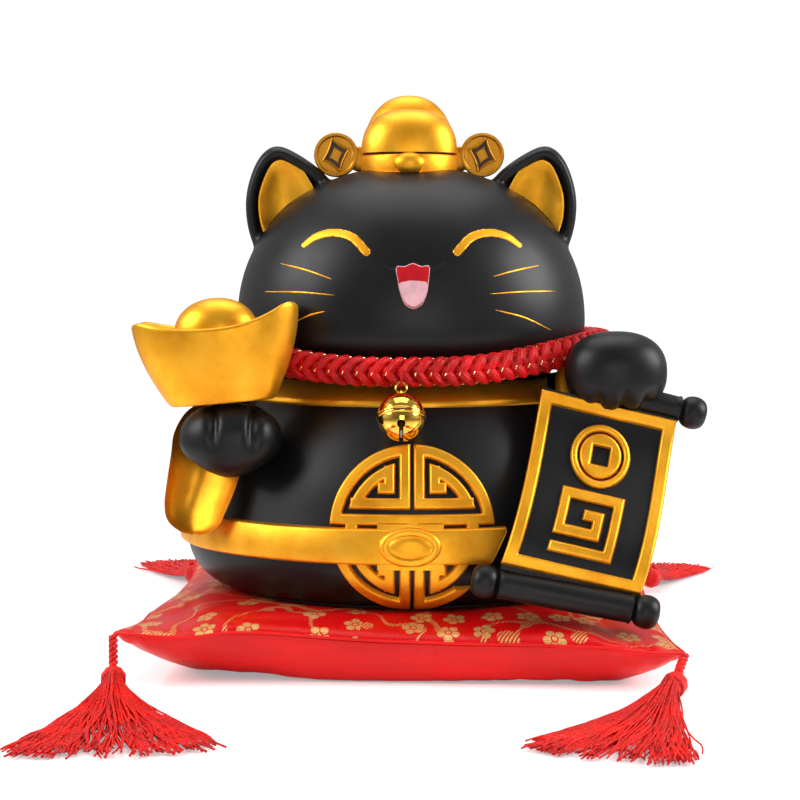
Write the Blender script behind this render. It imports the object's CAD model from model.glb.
from math import radians

import bpy
import numpy as np
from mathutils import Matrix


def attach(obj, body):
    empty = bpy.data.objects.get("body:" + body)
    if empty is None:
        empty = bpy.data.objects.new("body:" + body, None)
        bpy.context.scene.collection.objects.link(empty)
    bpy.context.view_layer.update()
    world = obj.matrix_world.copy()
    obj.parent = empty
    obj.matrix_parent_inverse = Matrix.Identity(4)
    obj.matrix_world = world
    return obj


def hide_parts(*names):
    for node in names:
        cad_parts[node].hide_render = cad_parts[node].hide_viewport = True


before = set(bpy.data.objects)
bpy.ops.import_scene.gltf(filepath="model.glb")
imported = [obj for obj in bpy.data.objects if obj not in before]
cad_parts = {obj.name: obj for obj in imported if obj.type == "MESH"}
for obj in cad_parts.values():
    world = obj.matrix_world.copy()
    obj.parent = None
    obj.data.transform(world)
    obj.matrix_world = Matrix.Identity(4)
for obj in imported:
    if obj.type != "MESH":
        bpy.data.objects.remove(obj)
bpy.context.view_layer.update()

# ---- Camera --------------------------------------------------------------------------------------
# The figurine is seen from the front, a little above its middle and from just under a metre away.
# Lengths in this file are in millimetres and are turned into metres where a mesh is made.

camera = bpy.data.objects.new("camera", bpy.data.cameras.new("camera"))
bpy.context.collection.objects.link(camera)
camera.location = (-0.005, -0.926, 0.175)
camera.rotation_euler = (radians(90 - 4.08), 0, 0)
camera.data.sensor_width = 36
camera.data.lens = 91.5
camera.data.clip_start = 0.01
bpy.context.scene.camera = camera

# ---- Torso ---------------------------------------------------------------------------------------
# A hollow resin casting, pear-shaped and a little less deep than it is wide, under the head.
# It is sprayed a soft black that leaves a very fine texture.


def along_curve(knots, count):
    """Points on the smooth curve through the knots: a cubic between each pair, whose slope at a knot is
    half the step from the knot before it to the knot after it."""
    knots = np.asarray(knots, float)
    ends = np.vstack([2 * knots[0] - knots[1], knots, 2 * knots[-1] - knots[-2]])
    t = np.linspace(0, len(knots) - 1 - 1e-9, count)
    i = t.astype(int)
    f = (t - i)[:, None]
    a, b, c, d = ends[i], ends[i + 1], ends[i + 2], ends[i + 3]
    return 0.5 * (2 * b + (c - a) * f + (2 * a - 5 * b + 4 * c - d) * f**2 + (3 * b - a - 3 * c + d) * f**3)


def grid_faces(rows, columns, around=True):
    """Quads between neighbouring points of a grid, row by row; around joins the last column to the first."""
    row = np.arange(rows - 1)[:, None] * columns
    near = np.arange(columns if around else columns - 1)[None, :]
    far = (near + 1) % columns
    return np.stack([row + near, row + far, row + columns + far, row + columns + near], -1).reshape(-1, 4)


def volume(points, quads):
    """The sum over quads of a . (b x c + c x d) / 6, which is positive when the faces point outwards."""
    a, b, c, d = (points[quads[:, k]] for k in range(4))
    return (np.einsum("ij,ij->i", a, np.cross(b, c) + np.cross(c, d))).sum() / 6


def make_piece(name, points, faces, material, body="cat", replaces=(), sharp=35, finish=None):
    """Puts points, in millimetres, and faces into a mesh that rides on a body and stands for CAD nodes."""
    name += "_finished"
    mesh = bpy.data.meshes.new(name)
    mesh.from_pydata((np.asarray(points) * 0.001).tolist(), [], faces)
    mesh.materials.append(material)
    mesh.shade_smooth()
    if sharp:
        mesh.set_sharp_from_angle(angle=radians(sharp))
    piece = bpy.data.objects.new(name, mesh)
    bpy.context.collection.objects.link(piece)
    if body:
        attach(piece, body)
    if replaces:
        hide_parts(*replaces)
    return piece


def lofted(rings):
    """Points and outward faces of a closed body whose cross-sections are the rows of the array, with a
    flat cap on the first and on the last."""
    rings = np.asarray(rings, float)
    rows, columns = rings.shape[:2]
    points = rings.reshape(-1, 3)
    quads = grid_faces(rows, columns)
    first, last = np.arange(columns)[::-1], (rows - 1) * columns + np.arange(columns)
    if volume(points - points.mean(0), quads) < 0:
        quads, first, last = quads[:, ::-1], first[::-1], last[::-1]
    return points, quads.tolist() + [first.tolist(), last.tolist()]


def gathered(bodies):
    """Several (points, faces) bodies as one."""
    points, faces, first = [], [], 0
    for body_points, body_faces in bodies:
        points.append(body_points)
        faces += [[first + corner for corner in face] for face in body_faces]
        first += len(body_points)
    return np.vstack(points), faces


def new_material(name):
    """An empty material with its surface shader, its output, and a way to add and join nodes."""
    material = bpy.data.materials.new(name)
    material.use_nodes = True
    nodes = material.node_tree.nodes
    links = material.node_tree.links
    surface = nodes["Principled BSDF"]

    def add(kind, inputs=(), **settings):
        """A new node; each of its inputs is given a value or joined to a socket."""
        node = nodes.new(kind)
        for key, value in settings.items():
            setattr(node, key, value)
        for key, value in dict(inputs).items():
            if isinstance(value, bpy.types.NodeSocket):
                links.new(value, node.inputs[key])
            else:
                node.inputs[key].default_value = value
        return node

    return material, surface, add, links


def colour_ramp(add, fac, stops):
    """A colour ramp of (position, rgb) stops, read at a value."""
    ramp = add("ShaderNodeValToRGB", {"Fac": fac})
    while len(ramp.color_ramp.elements) < len(stops):
        ramp.color_ramp.elements.new(0.5)
    for element, (position, rgb) in zip(ramp.color_ramp.elements, stops):
        element.position = position
        element.color = (*rgb, 1)
    return ramp.outputs["Color"]


def black_resin():
    """Soft black spray on resin: nearly black, unevenly satin, with a fine stipple."""
    material, surface, add, links = new_material("black_resin")
    place = add("ShaderNodeTexCoord").outputs["Object"]
    clouds = add("ShaderNodeTexNoise", {"Vector": place, "Scale": 38, "Detail": 5, "Roughness": 0.55})
    stipple = add("ShaderNodeTexNoise", {"Vector": place, "Scale": 2600, "Detail": 2})
    base = colour_ramp(
        add, clouds.outputs["Fac"], [(0.3, (0.0030, 0.0031, 0.0036)), (0.75, (0.0056, 0.0058, 0.0066))]
    )
    links.new(base, surface.inputs["Base Color"])
    rough = add(
        "ShaderNodeMapRange",
        {"Value": clouds.outputs["Fac"], "From Min": 0.3, "From Max": 0.7, "To Min": 0.36, "To Max": 0.45}
    )
    links.new(rough.outputs["Result"], surface.inputs["Roughness"])
    surface.inputs["Specular IOR Level"].default_value = 0.27
    bump = add("ShaderNodeBump", {"Height": stipple.outputs["Fac"], "Strength": 0.12, "Distance": 0.0001})
    links.new(bump.outputs["Normal"], surface.inputs["Normal"])
    return material


BLACK = black_resin()
TORSO_FOOT, TORSO_HEIGHT, TORSO_WIDE, TORSO_DEPTH = 27.5, 102.0, 101.5, 0.93
TORSO_KNOTS = [
    (0.83, 0), (0.91, 0.035), (0.98, 0.12), (1, 0.225), (0.97, 0.38), (0.925, 0.53), (0.84, 0.69), (0.74, 0.82),
    (0.62, 0.92), (0.47, 1)
]
torso_outline = along_curve(TORSO_KNOTS, 181) * [TORSO_WIDE, TORSO_HEIGHT] + [0, TORSO_FOOT]


def torso_radius(level):
    """Half the torso's width at a level, read off its outline."""
    return np.interp(level, torso_outline[:, 1], torso_outline[:, 0])


def torso_front(x, level):
    """The point of the torso's front at x and a level, and the outward direction there."""
    x, level = np.broadcast_arrays(np.asarray(x, float), np.asarray(level, float))
    radius = torso_radius(level)
    slope = torso_radius(level + 0.5) - torso_radius(level - 0.5)
    depth = np.sqrt(np.clip(radius**2 - x**2, 1, None))
    out = np.stack([x, -depth / TORSO_DEPTH, -radius * slope], -1)
    out /= np.linalg.norm(out, axis=-1, keepdims=True)
    return np.stack([x, -TORSO_DEPTH * depth, level], -1), out


def torso_round(turn, level):
    """The point of the torso at an angle from the front and a level, and the outward direction there."""
    turn, level = np.broadcast_arrays(np.asarray(turn, float), np.asarray(level, float))
    radius = torso_radius(level)
    slope = torso_radius(level + 0.5) - torso_radius(level - 0.5)
    out = np.stack([np.sin(turn), -np.cos(turn) / TORSO_DEPTH, -slope], -1)
    out /= np.linalg.norm(out, axis=-1, keepdims=True)
    return np.stack([radius * np.sin(turn), -TORSO_DEPTH * radius * np.cos(turn), level], -1), out


around = np.linspace(0, 2 * np.pi, 160, endpoint=False)
torso_rings = torso_round(around[None, :], torso_outline[::2, 1][:, None])[0]
torso_points = np.concatenate([torso_rings[:1] * [0.96, 0.96, 1], torso_rings])
make_piece("torso", *lofted(torso_points), BLACK, replaces=["torso_shell"], finish="black_resin")

# ---- Head with its ears --------------------------------------------------------------------------
# One casting: a wide flattened ball, with two ears that grow out of it in soft hollows. The inside of each
# ear is painted gold, and so are the eyes and whiskers. The mouth and tongue are painted on.

HEAD = np.array([0.0, -6.0, 145.0])
HEAD_HALF = (78.3, 66.0, 70.0, 35.0)
HEAD_POWER = 2.15


def ball(rows, columns, centre, half, down=None, power=2.0):
    """Rings of a squared-up ball: each direction is stretched until |x|^p + |y|^p + |z|^p = 1, then
    scaled by the half sizes."""
    lat = np.linspace(-np.pi / 2, np.pi / 2, rows)[:, None]
    lon = np.linspace(0, 2 * np.pi, columns, endpoint=False)[None, :]
    way = np.stack([np.cos(lat) * np.cos(lon), np.cos(lat) * np.sin(lon), np.sin(lat) + 0 * lon], -1)
    way /= (np.abs(way) ** power).sum(-1, keepdims=True) ** (1 / power)
    way[..., 2] *= np.where(way[..., 2] > 0, half[2], half[2] if down is None else down)
    return way * [half[0], half[1], 1] + centre


def head_front(x, level):
    """The point of the head's front at x and a level, and the outward direction there."""
    x, level = np.broadcast_arrays(np.asarray(x, float), np.asarray(level, float))
    up = level - HEAD[2]
    tall = np.where(up > 0, HEAD_HALF[2], HEAD_HALF[3])
    rest = 1 - np.abs(x / HEAD_HALF[0]) ** HEAD_POWER - np.abs(up / tall) ** HEAD_POWER
    y = np.clip(rest, 1e-6, None) ** (1 / HEAD_POWER)
    grow = HEAD_POWER - 1
    out = np.stack(
        [
            np.sign(x) * np.abs(x / HEAD_HALF[0]) ** grow / HEAD_HALF[0], -(y**grow) / HEAD_HALF[1],
            np.sign(up) * np.abs(up / tall) ** grow / tall
        ],
        -1
    )
    out /= np.linalg.norm(out, axis=-1, keepdims=True)
    return np.stack([x, HEAD[1] - y * HEAD_HALF[1], level], -1), out


EAR_ROOT = (0.715 * HEAD_HALF[0], HEAD[2] + 0.743 * HEAD_HALF[2])
EAR_OUTLINE = [
    (-20, -22), (-22, 3), (-17.5, 14), (-4, 24), (6, 26.8), (14, 19), (18.6, 2), (15.5, -17), (4, -34)
]


def closed_curve(knots, count):
    """The smooth closed curve through the knots."""
    knots = np.asarray(knots, float)
    reach = len(knots)
    loop = np.vstack([knots, knots, knots, knots[:1]])
    return along_curve(loop, 3 * count + 1)[count : 2 * count]


def ear_body(side):
    """Rings from the back's middle, over the rounded rim, down into the hollow of the front: the outline
    shrinks towards its middle while the depth follows a rounded lip."""
    outline = closed_curve(EAR_OUTLINE, 96)
    middle = np.array([-1.0, -2.0])
    shrink = np.array([0.02, 0.4, 0.75, 0.9, 0.97, 1.0, 0.985, 0.95, 0.9, 0.845, 0.8, 0.76, 0.72, 0.4, 0.02])
    depth = np.array([7.5, 7.2, 5.5, 3.5, 1.0, -4, -9.0, -12.4, -14.0, -14.2, -13.2, -11.2, -9.8, -7.4, -6.8])
    rings = []
    for size, y in zip(shrink, depth):
        flat = middle + (outline - middle) * size
        x = side * (EAR_ROOT[0] + flat[:, 0])
        rings.append(np.stack([x, np.full(len(x), y), EAR_ROOT[1] + flat[:, 1]], -1))
    return lofted(rings)


def cast_as_one(name, bodies, voxel, material, replaces, smooth=4, body="cat"):
    """Bodies that overlap, as one skin: they are remeshed together on a fine lattice and the creases where
    they meet are eased by smoothing."""
    points, faces = gathered(bodies)
    piece = make_piece(name, points, faces, material, body=None, sharp=0)
    remesh = piece.modifiers.new("remesh", "REMESH")
    remesh.mode = "VOXEL"
    remesh.voxel_size = voxel * 0.001
    remesh.use_smooth_shade = True
    ease = piece.modifiers.new("ease", "SMOOTH")
    ease.factor = 0.6
    ease.iterations = smooth
    bpy.context.view_layer.update()
    baked = bpy.data.meshes.new_from_object(piece.evaluated_get(bpy.context.evaluated_depsgraph_get()))
    piece.modifiers.clear()
    old = piece.data
    piece.data = baked
    bpy.data.meshes.remove(old)
    baked.materials.clear()
    baked.materials.append(material)
    baked.polygons.foreach_set("material_index", np.zeros(len(baked.polygons), np.int32))
    baked.shade_smooth()
    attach(piece, body)
    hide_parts(*replaces)
    return piece


head_ball = lofted(ball(91, 180, HEAD, HEAD_HALF[:3], HEAD_HALF[3], HEAD_POWER))
cast_as_one("head", [head_ball, ear_body(-1), ear_body(1)], 1.2, BLACK, ["head_shell"], smooth=5)


def gold_paint(name="gold_paint", rough=0.39, tone=1.0):
    """Brushed-on gold paint: a warm metal, redder and duller in patches, with fine strokes and a few dark
    pinholes where the black beneath shows."""
    material, surface, add, links = new_material(name)
    place = add("ShaderNodeTexCoord").outputs["Object"]
    patches = add("ShaderNodeTexNoise", {"Vector": place, "Scale": 60, "Detail": 6, "Roughness": 0.6})
    strokes_at = add("ShaderNodeMapping", {"Vector": place, "Scale": (260, 260, 1800)})
    strokes = add("ShaderNodeTexNoise", {"Vector": strokes_at.outputs["Vector"], "Scale": 1.0, "Detail": 3})
    grain = add("ShaderNodeTexNoise", {"Vector": place, "Scale": 2400, "Detail": 2})
    colour = colour_ramp(
        add, patches.outputs["Fac"],
        [
            (0.25, (0.72 * tone, 0.27 * tone, 0.006)), (0.5, (0.90 * tone, 0.40 * tone, 0.016)),
            (0.75, (0.97 * tone, 0.50 * tone, 0.035))
        ]
    )
    links.new(colour, surface.inputs["Base Color"])
    surface.inputs["Metallic"].default_value = 0.82
    shine = add(
        "ShaderNodeMapRange",
        {
            "Value": strokes.outputs["Fac"], "From Min": 0.3, "From Max": 0.7, "To Min": rough - 0.02,
            "To Max": rough + 0.07
        }
    )
    links.new(shine.outputs["Result"], surface.inputs["Roughness"])
    bump = add("ShaderNodeBump", {"Height": grain.outputs["Fac"], "Strength": 0.3, "Distance": 0.00012})
    links.new(bump.outputs["Normal"], surface.inputs["Normal"])
    return material


GOLD = gold_paint()

LINING_OUTLINE = [
    (-12.5, -2), (-13, 7), (-4.8, 19.5), (4.5, 20.6), (9.5, 14), (12.8, 2), (10.5, -12), (2, -20), (-8, -16)
]


def ear_lining(side):
    """A thin dished panel in the ear's hollow: the outline shrinks to its middle and sinks as it goes."""
    outline = closed_curve(LINING_OUTLINE, 64)
    middle = np.array([-0.6, -1.6])
    rings = []
    for size, y in [
        (0.02, -5.6), (0.6, -6.4), (0.97, -9.6), (0.97, -11.9), (0.91, -11.9), (0.76, -10.4), (0.52, -8.6),
        (0.02, -7.7)
    ]:
        flat = middle + (outline - middle) * size
        x = side * (EAR_ROOT[0] + flat[:, 0])
        rings.append(np.stack([x, np.full(len(x), y), EAR_ROOT[1] + flat[:, 1]], -1))
    return lofted(rings)


make_piece("ear_gold_left", *ear_lining(-1), GOLD, replaces=["ear_lining_left"], finish="gold_paint")
make_piece("ear_gold_right", *ear_lining(1), GOLD, replaces=["ear_lining_right"], finish="gold_paint")


def slab(front, back):
    """A closed slab between two grids of points: each row of one and the same row of the other, reversed,
    are a ring."""
    return lofted(np.concatenate([front, back[:, ::-1]], axis=1))


def inlay(surface_at, x_range, z_range, step, inside, height, sunk=0.5, edge=0.5):
    """A patch of a surface that stands proud by `height` where the distance inside its figure is more than
    `edge`, and dips under the surface by `sunk` elsewhere, with a rounded shoulder between."""
    x = np.arange(x_range[0], x_range[1] + step, step)[None, :]
    z = np.arange(z_range[0], z_range[1] + step, step)[:, None]
    depth = inside(x + 0 * z, z + 0 * x)
    share = np.clip((depth + 0.6 * edge) / (1.6 * edge), 0, 1)
    rise = np.sqrt(np.clip(1 - (1 - share) ** 2, 0, 1)) * (height + sunk) - sunk
    point, out = surface_at(x + 0 * z, z + 0 * x)
    return slab(point + out * rise[..., None], point - out * (sunk + 0.4))


def stroke_inside(x, z, knots, width):
    """How far inside a brush stroke (x, z) is: half the width at the nearest point of the smooth line
    through the knots, less the distance to that point."""
    line = along_curve(knots, 60)
    half = np.interp(np.linspace(0, 1, 60), np.linspace(0, 1, len(width)), width) / 2
    gap = np.hypot(x[..., None] - line[:, 0], z[..., None] - line[:, 1]) - half
    return -gap.min(-1)


def painted_line(name, knots, width, step=0.45, height=0.28):
    """A painted stroke on the head's front."""
    knots = np.asarray(knots, float)
    low, high = knots.min(0) - 4, knots.max(0) + 4
    points, faces = inlay(
        head_front, (low[0], high[0]), (low[1], high[1]), step, lambda x, z: stroke_inside(x, z, knots, width),
        height, edge=0.3
    )
    make_piece(name, points, faces, GOLD, finish="gold_paint")


EYE = [(-46.2, 179.2), (-40.6, 183.0), (-33.0, 184.5), (-25.2, 182.4), (-19.3, 176.4)]
for side, name in ((1, "eye_left"), (-1, "eye_right")):
    painted_line(name, [(side * x, z) for x, z in EYE], [2.2, 3.0, 3.3, 3.6, 3.5])
WHISKERS = {
    "whisker_left_top": [(-56.2, 171.3), (-45, 168.6), (-34.2, 164.9)],
    "whisker_left_middle": [(-63.4, 159.2), (-48, 159.2), (-32.9, 158.1)],
    "whisker_left_bottom": [(-48.4, 147.2), (-43, 149.6), (-37.1, 151.2)],
    "whisker_right_top": [(54.7, 170.5), (45, 168.6), (34.8, 166.0)],
    "whisker_right_middle": [(62.4, 159.4), (48, 159.4), (33.4, 158.6)],
    "whisker_right_bottom": [(60.0, 142.8), (48, 148.4), (35.6, 151.8)],
}
for name, knots in WHISKERS.items():
    painted_line(name, knots, [0.3, 0.6, 0.75, 0.65, 0.35], step=0.25, height=0.18)


def mouth_paint(name, colour, rough):
    """Glossy brushed paint with a slight unevenness."""
    material, surface, add, links = new_material(name)
    place = add("ShaderNodeTexCoord").outputs["Object"]
    uneven = add("ShaderNodeTexNoise", {"Vector": place, "Scale": 300, "Detail": 3})
    tint = colour_ramp(add, uneven.outputs["Fac"], [(0.3, tuple(c * 0.8 for c in colour)), (0.7, colour)])
    links.new(tint, surface.inputs["Base Color"])
    surface.inputs["Roughness"].default_value = rough
    bump = add("ShaderNodeBump", {"Height": uneven.outputs["Fac"], "Strength": 0.2, "Distance": 0.0002})
    links.new(bump.outputs["Normal"], surface.inputs["Normal"])
    return material


def polygon_inside(x, z, knots):
    """Signed distance inside the smooth closed outline through the knots: the distance to its nearest point,
    counted as positive where the outline winds round (x, z)."""
    line = closed_curve(knots, 90)
    dx, dz = line[:, 0] - x[..., None], line[:, 1] - z[..., None]
    gap = np.hypot(dx, dz).min(-1)
    angle = np.arctan2(dz, dx)
    turn = np.angle(np.exp(1j * (np.roll(angle, -1, -1) - angle))).sum(-1)
    return np.where(np.abs(turn) > np.pi, gap, -gap)


MOUTH = [
    (0.5, 171.5), (3.8, 170.3), (7.4, 170.2), (7.1, 164.5), (6.4, 159.4), (4.5, 154.6), (0.7, 152.5),
    (-3.0, 154.5), (-5.0, 159.4), (-6.0, 164.5), (-6.6, 169.9), (-3.0, 170.3)
]
TONGUE = [
    (-5.2, 162.8), (-2.0, 163.9), (0.7, 164.1), (3.8, 163.9), (6.4, 163.0), (5.9, 158.8), (4.1, 155.0),
    (0.7, 153.2), (-2.6, 154.9), (-4.5, 158.8)
]
LIP_PAINT = mouth_paint("pale_lip_line", (0.62, 0.34, 0.36), 0.4)
RED_PAINT = mouth_paint("mouth_red", (0.50, 0.004, 0.010), 0.25)
PINK_PAINT = mouth_paint("tongue_pink", (0.78, 0.42, 0.47), 0.3)
for name, knots, paint, grow, height in (
    ("mouth_line", MOUTH, LIP_PAINT, 0.12, 0.18),
    ("mouth_red", MOUTH, RED_PAINT, -0.25, 0.3),
    ("tongue", TONGUE, PINK_PAINT, 0.0, 0.75),
):
    figure = lambda x, z, knots=knots, grow=grow: polygon_inside(x, z, knots) + grow
    make_piece(
        name, *inlay(head_front, (-9.5, 10), (148.5, 174), 0.3, figure, height, edge=0.4), paint,
        finish="black_resin"
    )
for name, knots in (
    ("smile_left", [(-6.6, 169.8), (-9.2, 168.9), (-12.4, 171.3)]),
    ("smile_right", [(7.6, 170.2), (10.2, 169.1), (13.2, 171.5)])
):
    points, faces = inlay(
        head_front, (-16 if knots[0][0] < 0 else 5, -4 if knots[0][0] < 0 else 16), (166, 174), 0.3,
        lambda x, z, knots=knots: stroke_inside(x, z, knots, [1.1, 1.1, 0.6]), 0.12, edge=0.4
    )
    make_piece(name, points, faces, BLACK, finish="black_resin")

# ---- Hat -----------------------------------------------------------------------------------------
# A gilded official's hat: a drum-shaped band with an oval boss, a front dome, a taller dome behind it, and
# a round coin with a square hole on each side, held by a short neck.

HAT = np.array([-0.9, -7.0])
BAND_TOP = 219.6


def turned(profile, columns=96, depth=1.0):
    """Rings of a (radius, level) profile turned about Z, squashed in Y by `depth`."""
    profile = np.asarray(profile, float)
    turn = np.linspace(0, 2 * np.pi, columns, endpoint=False)
    radius, level = profile[:, 0][:, None], profile[:, 1][:, None]
    return np.stack([radius * np.cos(turn), depth * radius * np.sin(turn), level + 0 * turn], -1)


band = turned([
    (0.1, 205), (21.2, 205), (21.5, 211.2), (21.6, 213), (21.8, 218.2), (21.5, 219.2), (20.6, 219.6),
    (0.1, 219.6)
])
make_piece("hat_band", *lofted(band + [*HAT, 0]), GOLD, replaces=["hat_band"], finish="gold_paint")
foot = turned([
    (0.1, 208), (21.6, 208), (22.7, 209.0), (23.0, 210.4), (22.7, 211.6), (21.6, 212.3), (0.1, 212.3)
])
make_piece("hat_band_foot", *lofted(foot + [*HAT, 0]), GOLD, finish="gold_paint")
boss_rings = ball(41, 64, np.array([HAT[0], HAT[1] - 21.3, 215.2]), (7.0, 4.2, 4.9))
make_piece("hat_band_boss", *lofted(boss_rings), GOLD, replaces=["hat_band_boss"], finish="gold_paint")


def hat_dome(y, half, bulge=2.3):
    """The upper part of a squared-up ball that stands on the band, with a rounded foot."""
    rings = ball(121, 120, np.array([HAT[0], y, BAND_TOP + 0.6]), half, power=bulge)
    return lofted(rings[60:])


make_piece(
    "hat_front_dome", *hat_dome(HAT[1] - 5, (21.4, 16.5, 19.6), 2.5), GOLD, replaces=["hat_front_dome"],
    finish="gold_paint"
)
make_piece(
    "hat_rear_dome", *hat_dome(HAT[1] + 9, (20.9, 13, 26.8), 2.2), GOLD, replaces=["hat_rear_dome"],
    finish="gold_paint"
)


STAR_WIDE, STAR_TALL = 0.9, 1.16


def hat_coin(side):
    """A coin on edge, made of rings from its back's middle to its front's middle. Its face drops inside the
    rim, and drops again inside a square with hollow sides that stands on one corner."""
    centre = np.array([HAT[0] + side * 32.8, HAT[1], 219.8])
    radius = np.concatenate([[0.05], np.linspace(0.4, 7.9, 26), [8.2, 8.6, 9.1, 9.5, 9.8, 9.9]])
    turn = np.linspace(0, 2 * np.pi, 144, endpoint=False)
    x, z = radius[:, None] * np.cos(turn), radius[:, None] * np.sin(turn)
    tilt = -side * 0.3
    across, up = x / STAR_WIDE, z / STAR_TALL
    a, b = np.abs(across * np.cos(tilt) + up * np.sin(tilt)), np.abs(up * np.cos(tilt) - across * np.sin(tilt))
    hollow = 6.4 - (a**0.8 + b**0.8) ** (1 / 0.8)
    ring = np.clip((radius[:, None] - 8.0) / 0.7, 0, 1)
    face = 1.45 + 0.8 * ring
    frame_line = np.exp(-(((hollow + 0.5) / 0.55) ** 2)) * 0.35
    sink = 1.0 / (1 + np.exp(-(hollow - 0.6) / 0.12)) * 1.3
    edge = np.clip((radius[:, None] - 9.3) / 0.6, 0, 1) ** 2 * 0.8
    y = face + frame_line * (ring < 0.1) - sink * (ring < 0.1) - edge
    front = np.stack([centre[0] + x, centre[1] - y, centre[2] + z], -1)
    back = np.stack([centre[0] + x, centre[1] + y, centre[2] + z], -1)
    return lofted(np.concatenate([back, front[::-1]])), centre, tilt


def dark_recess(name):
    """Black wash left in a recess of the gilding."""
    material, surface, add, links = new_material(name)
    place = add("ShaderNodeTexCoord").outputs["Object"]
    smear = add("ShaderNodeTexNoise", {"Vector": place, "Scale": 500, "Detail": 4})
    tint = colour_ramp(add, smear.outputs["Fac"], [(0.35, (0.012, 0.01, 0.008)), (0.8, (0.09, 0.05, 0.014))])
    links.new(tint, surface.inputs["Base Color"])
    surface.inputs["Roughness"].default_value = 0.5
    return material


RECESS = dark_recess("black_wash")
OLD_GOLD = gold_paint("gold_shaded", 0.42, 0.62)


def coin_hole(centre, tilt):
    """The washed floor of the coin's square, and the smaller gilt plate that stands on it."""
    turn = np.linspace(0, 2 * np.pi, 96, endpoint=False)
    star = 6.2 / (np.abs(np.cos(turn - tilt)) ** 0.8 + np.abs(np.sin(turn - tilt)) ** 0.8) ** (1 / 0.8)
    plate = lambda sizes: lofted([
        np.stack(
            [
                centre[0] + size * STAR_WIDE * star * np.cos(turn), centre[1] - y + 0 * turn,
                centre[2] + size * STAR_TALL * star * np.sin(turn)
            ],
            -1
        )
        for size, y in sizes
    ])
    floor = plate(((0.02, -0.6), (0.95, -0.6), (0.95, 0.62), (0.02, 0.62)))
    return floor, plate(((0.02, 0), (0.6, 0), (0.6, 0.75), (0.54, 0.95), (0.02, 0.95)))


for side, name in ((-1, "left"), (1, "right")):
    (points, faces), centre, tilt = hat_coin(side)
    neck = ball(21, 24, np.array([HAT[0] + side * 22.4, HAT[1], 218.0]), (4.4, 2.0, 5.6), power=2.6)
    make_piece(
        f"hat_coin_{name}", *gathered([(points, faces), lofted(neck)]), OLD_GOLD, replaces=[f"hat_coin_{name}"],
        finish="gold_paint"
    )
    wash, plate = coin_hole(centre, tilt)
    make_piece(f"hat_coin_wash_{name}", *wash, RECESS, finish="gold_paint")
    make_piece(f"hat_coin_plate_{name}", *plate, OLD_GOLD, finish="gold_paint")

# ---- Belt, buckle, neckline and roundel ----------------------------------------------------------
# Raised gilding on the torso. The belt goes round the belly, through an oval buckle, and its free end
# tapers off beside the scroll. A round fret sits behind the belt, in two halves.

BELT_LOW, BELT_HIGH = 47.5, 62.0


def belt_body():
    """A band round the torso whose section bulges: its height falls off towards both edges, and the free end
    on the right is cut on a slant, longest at the top."""
    last = radians(22.8)
    turn = np.concatenate([
        np.linspace(last - 2 * np.pi + radians(28), last - 0.14, 380), np.linspace(last - 0.138, last, 60)
    ])[None, :]
    z = np.linspace(BELT_LOW - 0.6, BELT_HIGH + 0.6, 41)[:, None]
    from_edge = np.minimum(z - BELT_LOW, BELT_HIGH - z)
    x_end = torso_radius(z) * (radians(23.0) - turn)
    depth = np.minimum(from_edge + 0 * turn, x_end - 0.4 - 0.6 * np.clip(60.0 - z, 0, 20))
    share = np.clip((depth + 0.3) / 1.5, 0, 1)
    crown = 0.5 * (1 - ((z - 54.75) / 7.3) ** 2)
    rise = np.sqrt(np.clip(1 - (1 - share) ** 2, 0, 1)) * (3.4 + crown + 0.6) - 0.6
    point, out = torso_round(turn, z + 0 * turn)
    return slab(point + out * rise[..., None], point - out * 1.0)


make_piece("belt", *belt_body(), GOLD, replaces=["belt"], finish="gold_paint", sharp=60)


def oval_inside(x, z, centre, half):
    """Roughly how far inside an oval (x, z) is."""
    reach = np.hypot((x - centre[0]) / half[0], (z - centre[1]) / half[1])
    return (1 - reach) * min(half)


BUCKLE = (-0.8, 54.75)


def on_belt(x, z):
    """The belt's outer face in front."""
    point, out = torso_front(x, z)
    return point + out * 3.7, out


ring_inside = lambda x, z: np.minimum(
    oval_inside(x, z, BUCKLE, (11.8, 7.0)), -oval_inside(x, z, BUCKLE, (8.4, 4.4))
)
make_piece(
    "belt_buckle_ring", *inlay(on_belt, (-14, 12.5), (46, 63.5), 0.3, ring_inside, 2.0, edge=0.9), GOLD,
    replaces=["belt_buckle_ring"], finish="gold_paint"
)
boss_inside = lambda x, z: oval_inside(x, z, BUCKLE, (7.6, 3.8))
make_piece(
    "belt_buckle_boss", *inlay(on_belt, (-10, 8.5), (49, 60.5), 0.3, boss_inside, 2.5, edge=2.2), GOLD,
    replaces=["belt_buckle_boss"], finish="gold_paint"
)
groove_inside = lambda x, z: oval_inside(x, z, BUCKLE, (9.4, 5.2))
make_piece(
    "belt_buckle_groove", *inlay(on_belt, (-11.5, 10), (48.5, 61), 0.4, groove_inside, 0.35, edge=0.3), RECESS,
    finish="gold_paint"
)


def neckline():
    """A flat band round the neck, under the collar rope."""
    turn = np.linspace(0, 2 * np.pi, 240, endpoint=False)[:, None]
    z = np.array([110.6, 110.9, 111.5, 112.4, 118.8, 119.6, 120.2, 120.0, 111.2])[None, :]
    rise = np.array([-0.6, 0.9, 1.6, 1.8, 1.8, 1.4, -0.6, -1.5, -1.5])[None, :]
    point, out = torso_round(turn + 0 * z, z + 0 * turn)
    rings = point + out * rise[..., None]
    points = rings.reshape(-1, 3)
    faces = np.vstack([
        grid_faces(len(turn), 9),
        np.stack(
            [
                (len(turn) - 1) * 9 + np.arange(9), (len(turn) - 1) * 9 + (np.arange(9) + 1) % 9,
                (np.arange(9) + 1) % 9, np.arange(9)
            ],
            -1
        )
    ])
    if volume(points - points.mean(0), faces) < 0:
        faces = faces[:, ::-1]
    return points, faces.tolist()


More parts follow.
